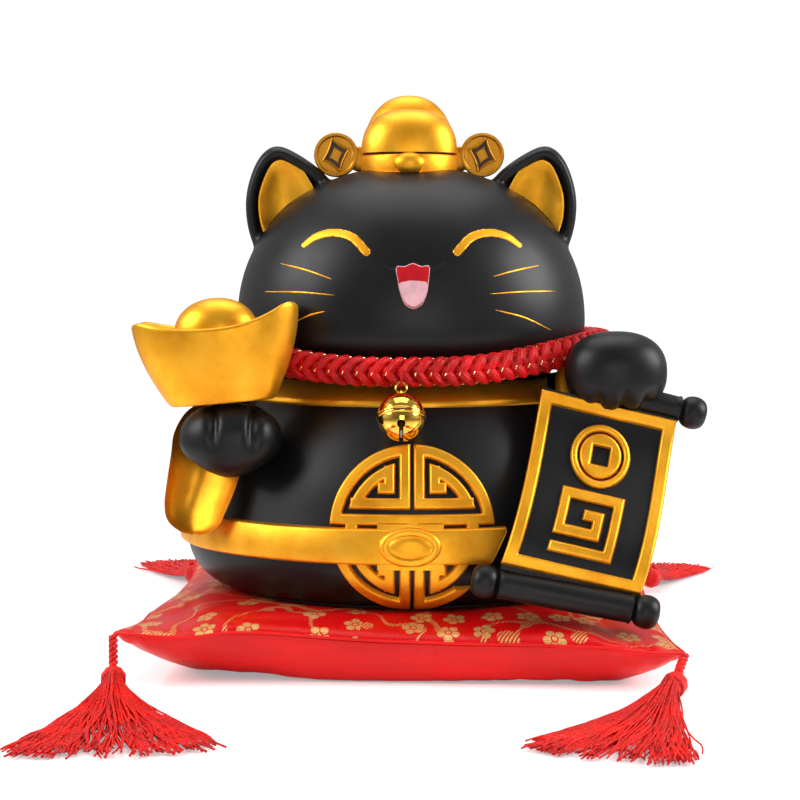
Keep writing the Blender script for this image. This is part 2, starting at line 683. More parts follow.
make_piece("neckline_band", *neckline(), GOLD, replaces=["neckline_band"], finish="gold_paint")

ROUNDEL_LEVEL, ROUNDEL_RADIUS, STROKE, SPACE, HALF_GAP, FIRST = 61.8, 33.8, 4.0, 2.6, 0.95, 8.4


def box_inside(x, z, x0, x1, z0, z1):
    """Distance inside an upright box, negative outside it."""
    return np.minimum(np.minimum(x - x0, x1 - x), np.minimum(z - z0, z1 - z))


def roundel_inside(x, z, upright):
    """Distance inside one half of the roundel: the largest over its arcs and bars, each mirrored in X."""
    z = (z - ROUNDEL_LEVEL) * upright
    right = np.abs(x)
    reach = np.hypot(x, z)
    second = ROUNDEL_RADIUS - STROKE - SPACE
    stem = HALF_GAP + STROKE
    curl = stem + SPACE - 0.2
    foot = FIRST + STROKE + 2.2
    outer = np.minimum(
        np.minimum(ROUNDEL_RADIUS - reach, reach - ROUNDEL_RADIUS + STROKE),
        np.minimum(z - 1.8, right - HALF_GAP)
    )
    if upright < 0:
        outer = np.where((x > 0) & (z < 24.2) & (z > 8), np.minimum(outer, z - 24.2), outer)
    inner = np.minimum(np.minimum(second - reach, reach - second + STROKE), np.minimum(z - FIRST, right - curl))
    parts = [
        outer,
        inner,
        np.minimum(
            box_inside(x, z, -ROUNDEL_RADIUS + 0.3, ROUNDEL_RADIUS - 0.3, 1.8, 1.8 + STROKE),
            ROUNDEL_RADIUS - reach
        ),
        box_inside(right, z, HALF_GAP, stem, FIRST, ROUNDEL_RADIUS - STROKE / 2),
        box_inside(right, z, HALF_GAP, second - STROKE / 2, FIRST, FIRST + STROKE),
        box_inside(right, z, curl, curl + STROKE, foot, second - STROKE + 2),
        box_inside(right, z, curl, curl + STROKE + 2.6, foot, foot + STROKE),
    ]
    if upright > 0:
        parts += [box_inside(x, z, post - 2.4, post + 2.4, -1, 3) for post in (-24.9, 0, 24.9)]
    return np.maximum.reduce(parts)


for upright, name, levels in ((1, "roundel_upper", (59.6, 97.0)), (-1, "roundel_lower", (27.6, 61.2))):
    figure = lambda x, z, upright=upright: roundel_inside(x, z, upright)
    make_piece(
        name, *inlay(torso_front, (-35, 35), levels, 0.32, figure, 2.0, edge=0.7), GOLD, replaces=[name],
        finish="gold_paint"
    )

# ---- Left arm, sleeve and ingot ------------------------------------------------------------------
# The paw on the left is held palm up under a boat-shaped ingot. Its arm comes out of a hanging sleeve, cast
# hollow at the mouth and gilded inside and on its lip.


def swept(route, half_side, half_rise, rows=48, columns=48, power=2.0):
    """Rings along a smooth route: at each point an oval, level across the way and upright along it, whose
    half sizes follow the lists given from start to end."""
    line = along_curve(route, rows)
    way = np.gradient(line, axis=0)
    way /= np.linalg.norm(way, axis=1, keepdims=True)
    side = np.cross(way, [0, 0, 1.0])
    side /= np.linalg.norm(side, axis=1, keepdims=True)
    rise = np.cross(side, way)
    share = np.linspace(0, 1, rows)
    half_side = np.interp(share, np.linspace(0, 1, len(half_side)), half_side)[:, None, None]
    half_rise = np.interp(share, np.linspace(0, 1, len(half_rise)), half_rise)[:, None, None]
    turn = np.linspace(0, 2 * np.pi, columns, endpoint=False)[None, :, None]
    stretch = (np.abs(np.cos(turn)) ** power + np.abs(np.sin(turn)) ** power) ** (-1 / power)
    return (
        line[:, None]
        + side[:, None] * half_side * np.cos(turn) * stretch
        + rise[:, None] * half_rise * np.sin(turn) * stretch
    )


def paw(centre, half, grooves, lean=0.0, depth=1.5, narrow=0.0, fade=0.12):
    """A paw: a ball pressed in along each groove. A groove is (place across, low share, high share) of the
    front, and its depth fades off as a bell curve across and smoothly at its ends. Below the middle the paw
    gets narrower by a share."""
    rings = ball(121, 160, np.zeros(3), (1, 1, 1), power=2.35)
    way = rings / np.linalg.norm(rings, axis=-1, keepdims=True)
    cut = np.zeros(rings.shape[:2])
    for across, low, high in grooves:
        line = across + lean * (way[..., 2] - low)
        inside = np.clip((way[..., 2] - low) / fade, 0, 1) * np.clip((high - way[..., 2]) / 0.3, 0, 1)
        cut = np.maximum(cut, np.exp(-(((way[..., 0] - line) / 0.085) ** 2)) * inside * (way[..., 1] < 0.1))
    taper = 1 - narrow * np.clip(-rings[..., 2], 0, 1) ** 2.2
    rings = rings * np.stack([taper, np.ones_like(taper), np.ones_like(taper)], -1)
    return lofted(rings * half * (1 - cut[..., None] * depth / 17) + centre)


LEFT_PAW = np.array([-76.4, -71.0, 97.0])
LEFT_ARM = [(-58, 0, 104), (-75, -24, 98), (-85, -48, 93), (-79, -66, 95)]
left_paw = paw(
    LEFT_PAW, (21.5, 17.2, 15.6), [(-0.28, -0.3, 1.2), (0.47, -0.35, 1.2)], depth=2.9, narrow=0.5, fade=0.75
)
left_forearm = lofted(swept(LEFT_ARM, [13, 12, 11, 10], [13, 12, 11, 10]))
cast_as_one("arm_left", [left_paw, left_forearm], 0.8, BLACK, ["arm_left"], smooth=4)

SLEEVE_ROUTE = [(-60, -2, 101), (-77, -24, 91), (-90, -53, 82)]


def sleeve_ring(line_share, grow):
    """One ring of the sleeve at a share of the way, widened or narrowed all round by the same amount."""
    rings = swept(SLEEVE_ROUTE, [17, 16.6, 16.2], [19, 23, 29], rows=101, columns=64, power=2.1)
    row = int(round(line_share * 100))
    middle = rings[row].mean(0)
    spread = rings[row] - middle
    reach = np.linalg.norm(spread, axis=1, keepdims=True)
    return middle + spread * (1 + grow / reach)


outer = [sleeve_ring(s, g) for s, g in ((0.0, -2), (0.1, 0), (0.3, 0), (0.5, 0), (0.7, -1.0), (0.8, -2.4))]
fold_in = [sleeve_ring(s, g) for s, g in ((0.8, -4.6), (0.62, -5.4), (0.58, -9), (0.57, -15))]
make_piece(
    "sleeve_left", *lofted(np.array(outer + fold_in)), BLACK, replaces=["sleeve_left"], finish="black_resin",
    sharp=50
)

HEM_LEFT = [
    (-91, -48, 112), (-97.6, -51, 107), (-101.8, -56, 99), (-103, -58, 90), (-104.8, -59, 78),
    (-105.8, -60, 68.5), (-104.4, -61.5, 62), (-99.5, -63, 57.6), (-94, -63.5, 56.0)
]
HEM_RIGHT = [
    (-75, -42, 106), (-71.5, -50, 98), (-70.5, -58, 91), (-73.4, -64, 81), (-76.0, -65.5, 73.5),
    (-79.2, -66.5, 66), (-81.6, -66.5, 61), (-85.8, -66, 57.4), (-91, -65, 55.8)
]


def hem_scoop():
    """The hem from its left edge to its right: between the two edge curves it dips back as half a sine, and
    flares forward again at the lower lip."""
    left, right = along_curve(HEM_LEFT, 70)[:, None], along_curve(HEM_RIGHT, 70)[:, None]
    t = np.linspace(0, 1, 49)[None, :, None]
    down = np.linspace(0, 1, 70)[:, None, None]
    flat = left + (right - left) * t
    hollow = 9 * (1 - down**2.5) + 2.5
    fold = 0.9 * np.exp(-(((t - 0.6) / 0.17) ** 2)) * np.clip(1.4 - 1.5 * np.abs(down - 0.45), 0, 1)
    dip = hollow * np.sin(np.pi * t) ** 0.8 - fold
    lip = -2.2 * np.exp(-(((t * (1 - t)) / 0.035) ** 2)) * (1 - 0.6 * down)
    back = np.concatenate([0 * dip, dip + lip, -0.35 * dip * (1 - down)], -1)
    return flat + back


hem_edge = np.clip(np.minimum(np.linspace(0, 1, 49), np.linspace(1, 0, 49)) / 0.07, 0, 1)
hem_thick = (0.5 + 2.0 * np.sqrt(1 - (1 - hem_edge) ** 2))[None, :, None] * np.concatenate([
    np.ones(60), np.sqrt(1 - np.linspace(0, 0.97, 10) ** 2)
])[:, None, None]
hem_front = hem_scoop()
hem_back = hem_front + [0, 1, 0] * hem_thick
make_piece(
    "sleeve_lining_left", *slab(hem_front, hem_back), GOLD, replaces=["sleeve_lining_left"],
    finish="gold_paint", sharp=60
)

INGOT_FOOT = np.array([-79.6, -72.0, 113.2])
INGOT_LEAN = radians(-5)


def on_ingot(rings):
    """The rings turned about Y by the ingot's lean and moved onto the paw."""
    x, y, z = rings[..., 0], rings[..., 1], rings[..., 2]
    cos, sin = np.cos(INGOT_LEAN), np.sin(INGOT_LEAN)
    return np.stack([x * cos + z * sin, y, -x * sin + z * cos], -1) + INGOT_FOOT


def ingot_boat():
    """An oval hull. Up its side the half length grows from 22 to 35 and the half width from 11.5 to 17,
    fastest near the foot, and the rim rises towards the two ends. Inside a rounded lip the deck dips."""
    turn = np.linspace(0, 2 * np.pi, 144, endpoint=False)
    shape = (np.abs(np.cos(turn)) ** 2.5 + np.abs(np.sin(turn)) ** 2.5) ** (-1 / 2.5)
    cx, cy = np.cos(turn) * shape, np.sin(turn) * shape
    ends = (np.abs(cx) ** 2.3 - 0.42 * np.clip((np.abs(cx) - 0.84) / 0.16, 0, 1) ** 2) * np.where(
        cx > 0, 1.35, 0.8
    )
    rings = [np.stack([0.02 * cx, 0.02 * cy, 0 * cx], -1)]
    for share in np.concatenate([[0.0, 0.012, 0.03], np.linspace(0.07, 0.93, 20), [0.96, 0.98]]):
        rim = 31 + 8.6 * ends
        foot_round = 1 - 0.03 * np.exp(-share * 70)
        x = cx * (22.2 + 13.0 * (1 - (1 - share) ** 1.7)) * foot_round
        y = cy * (11.5 + 5.5 * (1 - (1 - share) ** 1.7)) * foot_round
        rings.append(np.stack([x, y, rim * share], -1))
    for drop, inset in (
        (-0.3, 0.25), (-0.75, 0.9), (-0.9, 1.7), (-0.6, 2.5), (0.2, 3.2), (1.6, 3.8), (2.6, 5.5), (3.4, 12),
        (3.6, 16.5)
    ):
        reach_x, reach_y = 35.2 - inset * 1.3, 17.0 - inset
        rings.append(np.stack(
            [cx * reach_x, cy * reach_y, 31 + 8.6 * ends * (reach_x / 35.2) ** 2.6 - drop], -1
        ))
    return lofted(on_ingot(np.array(rings)))


INGOT_GOLD = gold_paint("ingot_gold", 0.35)
make_piece("ingot_boat", *ingot_boat(), INGOT_GOLD, replaces=["ingot_boat"], finish="gold_paint", sharp=60)
dome_rings = ball(61, 96, np.array([0, 0, 29.4]), (17.7, 12.6, 14.6), power=2.1)
make_piece(
    "ingot_dome", *lofted(on_ingot(dome_rings)), INGOT_GOLD, replaces=["ingot_dome"], finish="gold_paint"
)

# ---- Right arm and scroll ------------------------------------------------------------------------
# The other paw curls over the top rod of a small hanging scroll: a black sheet with a raised gilt border
# and two gilt ornaments, a coin and a square fret, between two black knobbed rods.

RIGHT_PAW = np.array([86.9, -62.0, 125.3])
RIGHT_ARM = [(54, -2, 104), (68, -22, 108), (80, -44, 117), (86, -58, 124)]
right_paw = paw(
    RIGHT_PAW, (21.6, 18.0, 17.4), [(-0.42, -1.0, -0.35), (0.06, -1.0, -0.3), (0.5, -1.0, -0.35)], lean=0.1,
    depth=2.0
)
right_forearm = lofted(swept(RIGHT_ARM, [17, 15.5, 14, 13], [17, 15.5, 14, 13]))
cast_as_one("arm_right", [right_paw, right_forearm], 0.8, BLACK, ["arm_right"], smooth=4)

cuff_route = along_curve(RIGHT_ARM, 101)[[58, 62, 66, 70, 74]]
cuff_rings = swept(
    cuff_route, [13, 18.2, 18.9, 18.9, 18.2, 13], [13, 18.2, 18.9, 18.9, 18.2, 13], rows=13, columns=72
)
make_piece("cuff_right", *lofted(cuff_rings), GOLD, replaces=["cuff_right"], finish="gold_paint")

SHEET_TOP = np.array([83.2, -67.0, 110.2])
SHEET_LEAN = radians(13.3)
SHEET_WIDE, SHEET_LONG, SHEET_FORWARD, SHEET_THICK = 57.8, 70.0, 33.0, 3.0
SHEET_ACROSS = np.array([np.cos(SHEET_LEAN), 0.03, -np.sin(SHEET_LEAN)])
SHEET_OUT = np.array([0, -1, 0.35]) / np.hypot(1, 0.35)


def sheet_point(x, down):
    """The back of the scroll's sheet, x millimetres across from its middle and `down` millimetres along it:
    it leans sideways more and more as it goes down, and bows forward over the belly."""
    share = down / SHEET_LONG
    slide = -np.sin(SHEET_LEAN) * down * (0.72 + 0.42 * share)
    forward = SHEET_FORWARD * (1 - np.cos(np.pi * np.clip(share, 0, 1))) / 2
    middle = np.stack(
        [SHEET_TOP[0] + slide, SHEET_TOP[1] - forward, SHEET_TOP[2] - np.cos(SHEET_LEAN) * down], -1
    )
    return middle + x[..., None] * SHEET_ACROSS


def sheet_front(x, z):
    """The sheet's front face and its outward direction; z is minus the distance down the sheet."""
    x, z = np.broadcast_arrays(x, z)
    return sheet_point(x, -z) + SHEET_THICK * SHEET_OUT, np.broadcast_to(SHEET_OUT, x.shape + (3,))


sheet_x = np.linspace(-SHEET_WIDE / 2, SHEET_WIDE / 2, 30)[None, :]
sheet_down = np.linspace(-1.6, 72.5, 90)[:, None]
sheet_back = sheet_point(sheet_x + 0 * sheet_down, sheet_down + 0 * sheet_x)
make_piece(
    "scroll_sheet", *slab(sheet_back + SHEET_THICK * SHEET_OUT, sheet_back), BLACK, replaces=["scroll_sheet"],
    finish="black_resin"
)

HALF_WIDE = SHEET_WIDE / 2


def border_inside(x, z):
    """Distance inside the frame along the sheet's edge."""
    outer = np.minimum(HALF_WIDE + 0.2 - np.abs(x), np.minimum(-z + 0.2, SHEET_LONG + z))
    inner = np.minimum(HALF_WIDE - 4.6 - np.abs(x), np.minimum(-z - 4.6, SHEET_LONG - 4.6 + z))
    return np.minimum(outer, -inner)


make_piece(
    "scroll_border", *inlay(sheet_front, (-29.4, 29.4), (-70.6, 0.6), 0.35, border_inside, 1.9, edge=0.7), GOLD,
    replaces=["scroll_border"], finish="gold_paint"
)


def coin_inside(x, z):
    """Distance inside a thick ring round a square hole, with a raised outer rim left by a thin gap."""
    z = z + 0.3 * SHEET_LONG
    reach = np.hypot(x, z)
    hole = np.maximum(np.abs(x), np.abs(z)) - 4.0
    gap = np.abs(reach - 9.4) - 0.7
    return np.minimum(np.minimum(12.4 - reach, hole), gap)


def fret_inside(x, z):
    """Distance inside a square key fret: seven bars that wind in from its edge."""
    z = z + 0.69 * SHEET_LONG
    bars = [
        (-13, 13, -12.5, -8.9), (9.4, 13, -12.5, 12.5), (-13, 13, 8.9, 12.5), (-13, -9.4, -5.3, 12.5),
        (-13, 5.8, -5.3, -1.7), (2.2, 5.8, -5.3, 5.3), (-2.2, 5.8, 1.7, 5.3)
    ]
    return np.maximum.reduce([box_inside(x, z, *bar) for bar in bars])


make_piece(
    "scroll_coin_ornament", *inlay(sheet_front, (-13.5, 13.5), (-34.5, -7.5), 0.3, coin_inside, 1.9, edge=0.7),
    GOLD, replaces=["scroll_coin_ornament"], finish="gold_paint"
)
make_piece(
    "scroll_fret_ornament", *inlay(sheet_front, (-14, 14), (-62, -34.8), 0.3, fret_inside, 1.9, edge=0.7), GOLD,
    replaces=["scroll_fret_ornament"], finish="gold_paint"
)


def knobbed_rod(start, end, radius, knob=7.0):
    """A rod turned about the line from start to end, the middles of its two rounded knobs, with a slight
    waist where each knob meets the rod."""
    start, end = np.asarray(start, float), np.asarray(end, float)
    length = np.linalg.norm(end - start)
    turn = np.linspace(-np.pi / 2, 0.72 * np.pi / 2, 16)
    half = 5.6
    knob_side = [(max(knob * np.cos(a) ** 0.55, 0.05), half * np.sin(a)) for a in turn]
    neck = [
        (radius + 0.3, half + 0.6), (radius - 0.1, half + 1.8), (radius - 0.1, half + 3.2), (radius, half + 6)
    ]
    profile = knob_side + neck + [(radius, length / 2)]
    profile += [(r, length - z) for r, z in reversed(knob_side + neck)]
    profile = np.array(profile)
    way = (end - start) / length
    side = np.cross(way, [0, 0, 1.0])
    side /= np.linalg.norm(side)
    rise = np.cross(side, way)
    around = np.linspace(0, 2 * np.pi, 56, endpoint=False)[None, :, None]
    return (
        start
        + profile[:, 1][:, None, None] * way
        + profile[:, 0][:, None, None] * (np.cos(around) * side + np.sin(around) * rise)
    )


def sheet_end(x, down, shift):
    """A rod's end: the point of the sheet at x and a distance down it, moved by a shift."""
    return sheet_point(np.array(float(x)), np.array(float(down))) + shift


top_rod = knobbed_rod(
    sheet_end(-0.2 * HALF_WIDE, 0, [0, 2, 6.4]), sheet_end(1.29 * HALF_WIDE, 0, [0, 2, 6.4]), 5.6
)
make_piece("scroll_top_rod", *lofted(top_rod), BLACK, replaces=["scroll_top_rod"], finish="black_resin")
bottom_rod = knobbed_rod(
    sheet_end(-1.2 * HALF_WIDE, 70, [-1.5, -1, -8.0]), sheet_end(1.14 * HALF_WIDE, 70, [-1.5, -4.6, -4.9]), 6.0
)
make_piece(
    "scroll_bottom_rod", *lofted(bottom_rod), BLACK, replaces=["scroll_bottom_rod"], finish="black_resin"
)

# ---- Tail and felt -------------------------------------------------------------------------------
# A short curled tail is glued low on the back. A dark felt disc closes the casting hole underneath.

back_y = TORSO_DEPTH * TORSO_WIDE
tail_route = [(16, back_y - 2, 39.5), (6, back_y + 6, 47.5), (-6, back_y + 6, 57.5), (-13, back_y, 70.5)]
share = np.linspace(-1, 1, 25)
tail_half = 9 * np.sqrt(np.clip(1 - share**4, 0.0005, 1))
make_piece(
    "tail", *lofted(swept(tail_route, tail_half, tail_half, rows=64)), BLACK, replaces=["tail"],
    finish="black_resin"
)


def fibre_cloth(name, dark, light, scale, rough):
    """Matted short fibres: blotchy colour and a woolly bump."""
    material, surface, add, links = new_material(name)
    place = add("ShaderNodeTexCoord").outputs["Object"]
    wool = add(
        "ShaderNodeTexNoise",
        {"Vector": place, "Scale": scale, "Detail": 8, "Roughness": 0.7, "Distortion": 0.6}
    )
    links.new(colour_ramp(add, wool.outputs["Fac"], [(0.3, dark), (0.7, light)]), surface.inputs["Base Color"])
    surface.inputs["Roughness"].default_value = rough
    bump = add("ShaderNodeBump", {"Height": wool.outputs["Fac"], "Strength": 0.5, "Distance": 0.0006})
    links.new(bump.outputs["Normal"], surface.inputs["Normal"])
    return material


felt = turned([(0.1, 26.0), (81.0, 26.0), (82.0, 26.3), (82.2, 26.9), (81.4, 27.2), (0.1, 27.2)], 120, 0.93)
make_piece(
    "base_felt", *lofted(felt), fibre_cloth("felt", (0.01, 0.01, 0.011), (0.035, 0.035, 0.037), 900, 0.95),
    replaces=["base_felt"], finish="felt"
)

# ---- Collar rope ---------------------------------------------------------------------------------
# A fat round plait of eight silky red strands, with bits of gold foil laid in between. Its ends go into a
# wrapped knot behind the head.

ROPE_RADIUS = 6.5


def rope_point(turn):
    """The rope's middle at an angle from the front: the head's outline at its level, moved out by a little
    more than the rope's radius. It rises smoothly from the front to the sides, less so on the left."""
    bend = np.abs(turn)
    climb = np.clip((bend - 0.15) / 1.15, 0, 1)
    climb = climb * climb * (3 - 2 * climb) * np.where(turn > 0, 1.0, 0.75)
    level = 126.0 + 9.5 * climb
    out = ROPE_RADIUS + 1.5
    wide, deep, low = HEAD_HALF[0] + out, HEAD_HALF[1] + out, HEAD_HALF[3] + out
    shrink = (1 - (np.abs(level - HEAD[2]) / low) ** HEAD_POWER) ** (1 / HEAD_POWER)
    return np.stack([wide * shrink * np.sin(turn), HEAD[1] - deep * shrink * np.cos(turn), level], -1)


def tube(line, radius, sides):
    """Rings of a round tube along a line. Its frame is carried along without twisting: each step the last
    side direction is made square to the way again."""
    way = np.gradient(line, axis=0)
    way /= np.linalg.norm(way, axis=1, keepdims=True)
    side = np.zeros_like(way)
    side[0] = np.cross(way[0], [0.3, 0.2, 0.93])
    for k in range(1, len(way)):
        side[k] = side[k - 1] - way[k] * side[k - 1].dot(way[k])
    side /= np.linalg.norm(side, axis=1, keepdims=True)
    rise = np.cross(way, side)
    turn = np.linspace(0, 2 * np.pi, sides, endpoint=False)[None, :, None]
    radius = np.broadcast_to(np.asarray(radius, float).reshape(-1, 1, 1), (len(line), 1, 1))
    return line[:, None] + radius * (side[:, None] * np.cos(turn) + rise[:, None] * np.sin(turn))


def lay_uv(piece, along, across):
    """A UV map in millimetres: along and across are given for each point of the mesh."""
    mesh = piece.data
    layer = mesh.uv_layers.new(name="lay")
    corner = np.empty(len(mesh.loops), np.int32)
    mesh.loops.foreach_get("vertex_index", corner)
    uv = np.stack([np.asarray(along).ravel()[corner], np.asarray(across).ravel()[corner]], -1)
    layer.data.foreach_set("uv", uv.astype(np.float32).ravel())


def math(add, operation, *values):
    """One value from a math node; its inputs are sockets or numbers."""
    return add("ShaderNodeMath", dict(enumerate(values)), operation=operation).outputs[0]


def silk_cord(name, dark, light, fibre=2.2):
    """Silky yarn: fine fibres run along the strand at a slant, with a soft sheen and darker gaps."""
    material, surface, add, links = new_material(name)
    lay = add("ShaderNodeUVMap", uv_map="lay").outputs["UV"]
    stretched = add("ShaderNodeMapping", {"Vector": lay, "Rotation": (0, 0, 0.45), "Scale": (0.35, fibre, 1)})
    fibres = add(
        "ShaderNodeTexNoise",
        {"Vector": stretched.outputs["Vector"], "Scale": 1.6, "Detail": 4, "Roughness": 0.6}
    )
    place = add("ShaderNodeTexCoord").outputs["Object"]
    uneven = add("ShaderNodeTexNoise", {"Vector": place, "Scale": 90, "Detail": 2})
    both = add("ShaderNodeMath", {0: fibres.outputs["Fac"], 1: uneven.outputs["Fac"]}, operation="ADD")
    halved = add("ShaderNodeMath", {0: both.outputs[0], 1: 0.5}, operation="MULTIPLY")
    links.new(colour_ramp(add, halved.outputs[0], [(0.34, dark), (0.62, light)]), surface.inputs["Base Color"])
    surface.inputs["Roughness"].default_value = 0.42
    surface.inputs["Specular IOR Level"].default_value = 0.3
    surface.inputs["Sheen Weight"].default_value = 0.03
    surface.inputs["Sheen Roughness"].default_value = 0.4
    surface.inputs["Sheen Tint"].default_value = (1, 0.3, 0.1, 1)
    turned_lay = add(
        "ShaderNodeSeparateXYZ",
        {"Vector": add("ShaderNodeMapping", {"Vector": lay, "Rotation": (0, 0, 0.35)}).outputs["Vector"]}
    )
    yarns = math(add, "ABSOLUTE", math(add, "SINE", math(add, "MULTIPLY", turned_lay.outputs["Y"], 2.4)))
    height = math(add, "ADD", yarns, math(add, "MULTIPLY", fibres.outputs["Fac"], 0.5))
    bump = add("ShaderNodeBump", {"Height": height, "Strength": 0.7, "Distance": 0.0004})
    links.new(bump.outputs["Normal"], surface.inputs["Normal"])
    return material


RED_CORD = silk_cord("red_cord", (0.30, 0.0005, 0.001), (0.80, 0.001, 0.002))


def rope_frame(samples):
    """Points along the rope, with the length so far and the directions out of the neck and up across it."""
    middle = rope_point(np.linspace(-np.pi + 0.07, np.pi - 0.07, samples))
    way = np.gradient(middle, axis=0)
    way /= np.linalg.norm(way, axis=1, keepdims=True)
    length = np.concatenate([[0], np.cumsum(np.linalg.norm(np.diff(middle, axis=0), axis=1))])
    outward = middle - [0, HEAD[1], 0]
    outward[:, 2] = 0
    outward -= way * (outward * way).sum(1, keepdims=True)
    outward /= np.linalg.norm(outward, axis=1, keepdims=True)
    rise = np.cross(way, outward)
    rise *= np.sign(rise[:, 2:3])
    return middle, way, outward, rise, length


ROPE_TURN = 23.6


def plait():
    """Eight strands of a round plait: four wind one way and four the other, one turn in ROPE_TURN. Round the
    rope each strand goes over where the cosine of twice its angle, less a quarter turn, is positive and under
    where it is negative, the other way about for the second four, which makes the rows of Vs."""
    middle, way, outward, rise, length = rope_frame(1350)
    bodies, along, across = [], [], []
    for winding in (1, -1):
        for k in range(4):
            angle = winding * 2 * np.pi * length / ROPE_TURN + k * np.pi / 2 + np.pi / 4
            reach = 4.05 + winding * 1.15 * np.cos(2 * (angle - np.pi / 4))
            line = middle + reach[:, None] * (outward * np.cos(angle)[:, None] + rise * np.sin(angle)[:, None])
            bodies.append(lofted(tube(line, 1.95, 9)))
            along.append(np.repeat(length, 9))
            across.append(np.tile(np.arange(9) * 1.4, len(length)))
    return gathered(bodies), np.concatenate(along), np.concatenate(across)


body, along, across = plait()
collar = make_piece("collar_rope", *body, RED_CORD, replaces=["collar_rope"], sharp=0, finish="red_cord")
lay_uv(collar, along, across)
core_middle = rope_frame(200)[0]
core = make_piece("collar_core", *lofted(tube(core_middle, 4.3, 16)), RED_CORD, sharp=0, finish="red_cord")
lay_uv(core, np.repeat(np.arange(200) * 2.5, 16), np.tile(np.arange(16) * 1.7, 200))


def tinsel_foil():
    """Thin gold foil ribbon: a bright metal crinkled so that it glints here and there."""
    material, surface, add, links = new_material("tinsel")
    place = add("ShaderNodeTexCoord").outputs["Object"]
    crinkle = add("ShaderNodeTexNoise", {"Vector": place, "Scale": 900, "Detail": 2})
    links.new(
        colour_ramp(add, crinkle.outputs["Fac"], [(0.35, (0.75, 0.45, 0.15)), (0.65, (1.0, 0.86, 0.6))]),
        surface.inputs["Base Color"]
    )
    surface.inputs["Metallic"].default_value = 1.0
    surface.inputs["Roughness"].default_value = 0.2
    bump = add("ShaderNodeBump", {"Height": crinkle.outputs["Fac"], "Strength": 0.8, "Distance": 0.0004})
    links.new(bump.outputs["Normal"], surface.inputs["Normal"])
    return material


TINSEL = tinsel_foil()


def tinsel_flecks():
    """Short bits of foil that show between the strands, one where each pair of Vs meets: bent slivers lying
    across the rope's front, top and bottom."""
    middle, way, outward, rise, length = rope_frame(1500)
    bodies = []
    for angle, shift in ((-0.12, 0.0), (1.5, 0.25), (-1.65, 0.25)):
        for at_length in np.arange(8 + shift * 5.9, length[-1] - 8, 5.9):
            k = int(np.searchsorted(length, at_length))
            share = np.linspace(-1, 1, 4)
            turn = angle + 0.26 * share
            out = 5.75 - 0.5 * share**2
            line = (
                middle[k]
                + way[k] * (0.75 * share)[:, None]
                + out[:, None] * (outward[k] * np.cos(turn)[:, None] + rise[k] * np.sin(turn)[:, None])
            )
            bodies.append(lofted(tube(line, [0.2, 0.42, 0.42, 0.2], 5)))
    return gathered(bodies)


make_piece("collar_tinsel", *tinsel_flecks(), TINSEL, sharp=0, finish="red_cord")

knot_centre = rope_point(np.array(np.pi))
knot_rings = ball(61, 72, np.zeros(3), (12.8, 9.6, 9.6), power=2.4)
knot_wrap = 1 + 0.03 * np.cos(knot_rings[..., 0:1] * 2.6)
knot_piece = make_piece(
    "collar_knot", *lofted(knot_rings * knot_wrap * [1, 0.9, 1] + knot_centre + [0, 0.6, 0]), RED_CORD,
    replaces=["collar_knot"], sharp=0, finish="red_cord"
)
lay_uv(knot_piece, knot_rings[..., 0], np.arctan2(knot_rings[..., 1], knot_rings[..., 2]) * 9)

# ---- Bell ----------------------------------------------------------------------------------------
# A stock round craft bell, pressed from thin brass in two halves and crimped at the middle, with a slot
# and round holes below. Its eye hangs in a small wire ring, and the ring in a loop of red thread.

BELL = np.array([-4.5, -87.297, 107.993])
BELL_DOWN = np.array([0.0, -0.44395, -0.89605])
RING_TOP = np.array([-4.5, -80.393, 121.926])
BELL_RADIUS, BELL_WALL = 9.9, 0.8


def on_bell(rings):
    """Rings made about the origin with their foot towards -Z, turned and moved onto the bell."""
    side = np.array([1.0, 0, 0])
    rise = -BELL_DOWN
    front = np.cross(rise, side)
    return rings[..., 0:1] * side + rings[..., 1:2] * front + rings[..., 2:3] * rise + BELL


def bell_brass():
    """Polished brass with faint handling marks."""
    material, surface, add, links = new_material("bell_brass")
    place = add("ShaderNodeTexCoord").outputs["Object"]
    marks = add("ShaderNodeTexNoise", {"Vector": place, "Scale": 250, "Detail": 5})
    links.new(
        colour_ramp(add, marks.outputs["Fac"], [(0.3, (0.84, 0.46, 0.05)), (0.7, (0.95, 0.60, 0.11))]),
        surface.inputs["Base Color"]
    )
    surface.inputs["Metallic"].default_value = 1.0
    shine = add(
        "ShaderNodeMapRange",
        {"Value": marks.outputs["Fac"], "From Min": 0.3, "From Max": 0.7, "To Min": 0.07, "To Max": 0.16}
    )
    links.new(shine.outputs["Result"], surface.inputs["Roughness"])
    bump = add("ShaderNodeBump", {"Height": marks.outputs["Fac"], "Strength": 0.05, "Distance": 0.0002})
    links.new(bump.outputs["Normal"], surface.inputs["Normal"])
    return material


BRASS = bell_brass()


def bell_half(side):
    """Half a hollow ball with a rolled flange at its open edge."""
    angle = np.linspace(0.02, np.pi / 2, 24)
    outside = [(BELL_RADIUS * np.sin(a), side * (0.15 + BELL_RADIUS * np.cos(a))) for a in angle[:-1]]
    flange = [
        (BELL_RADIUS, side * 1.3), (BELL_RADIUS + 0.35, side * 1.05), (BELL_RADIUS + 0.5, side * 0.7),
        (BELL_RADIUS + 0.45, side * 0.3), (BELL_RADIUS + 0.3, side * 0.15)
    ]
    inner = BELL_RADIUS - BELL_WALL
    inside = [(inner * np.sin(a), side * (0.15 + inner * np.cos(a))) for a in angle[::-1]]
    return on_bell(turned(outside + flange + inside, 96))


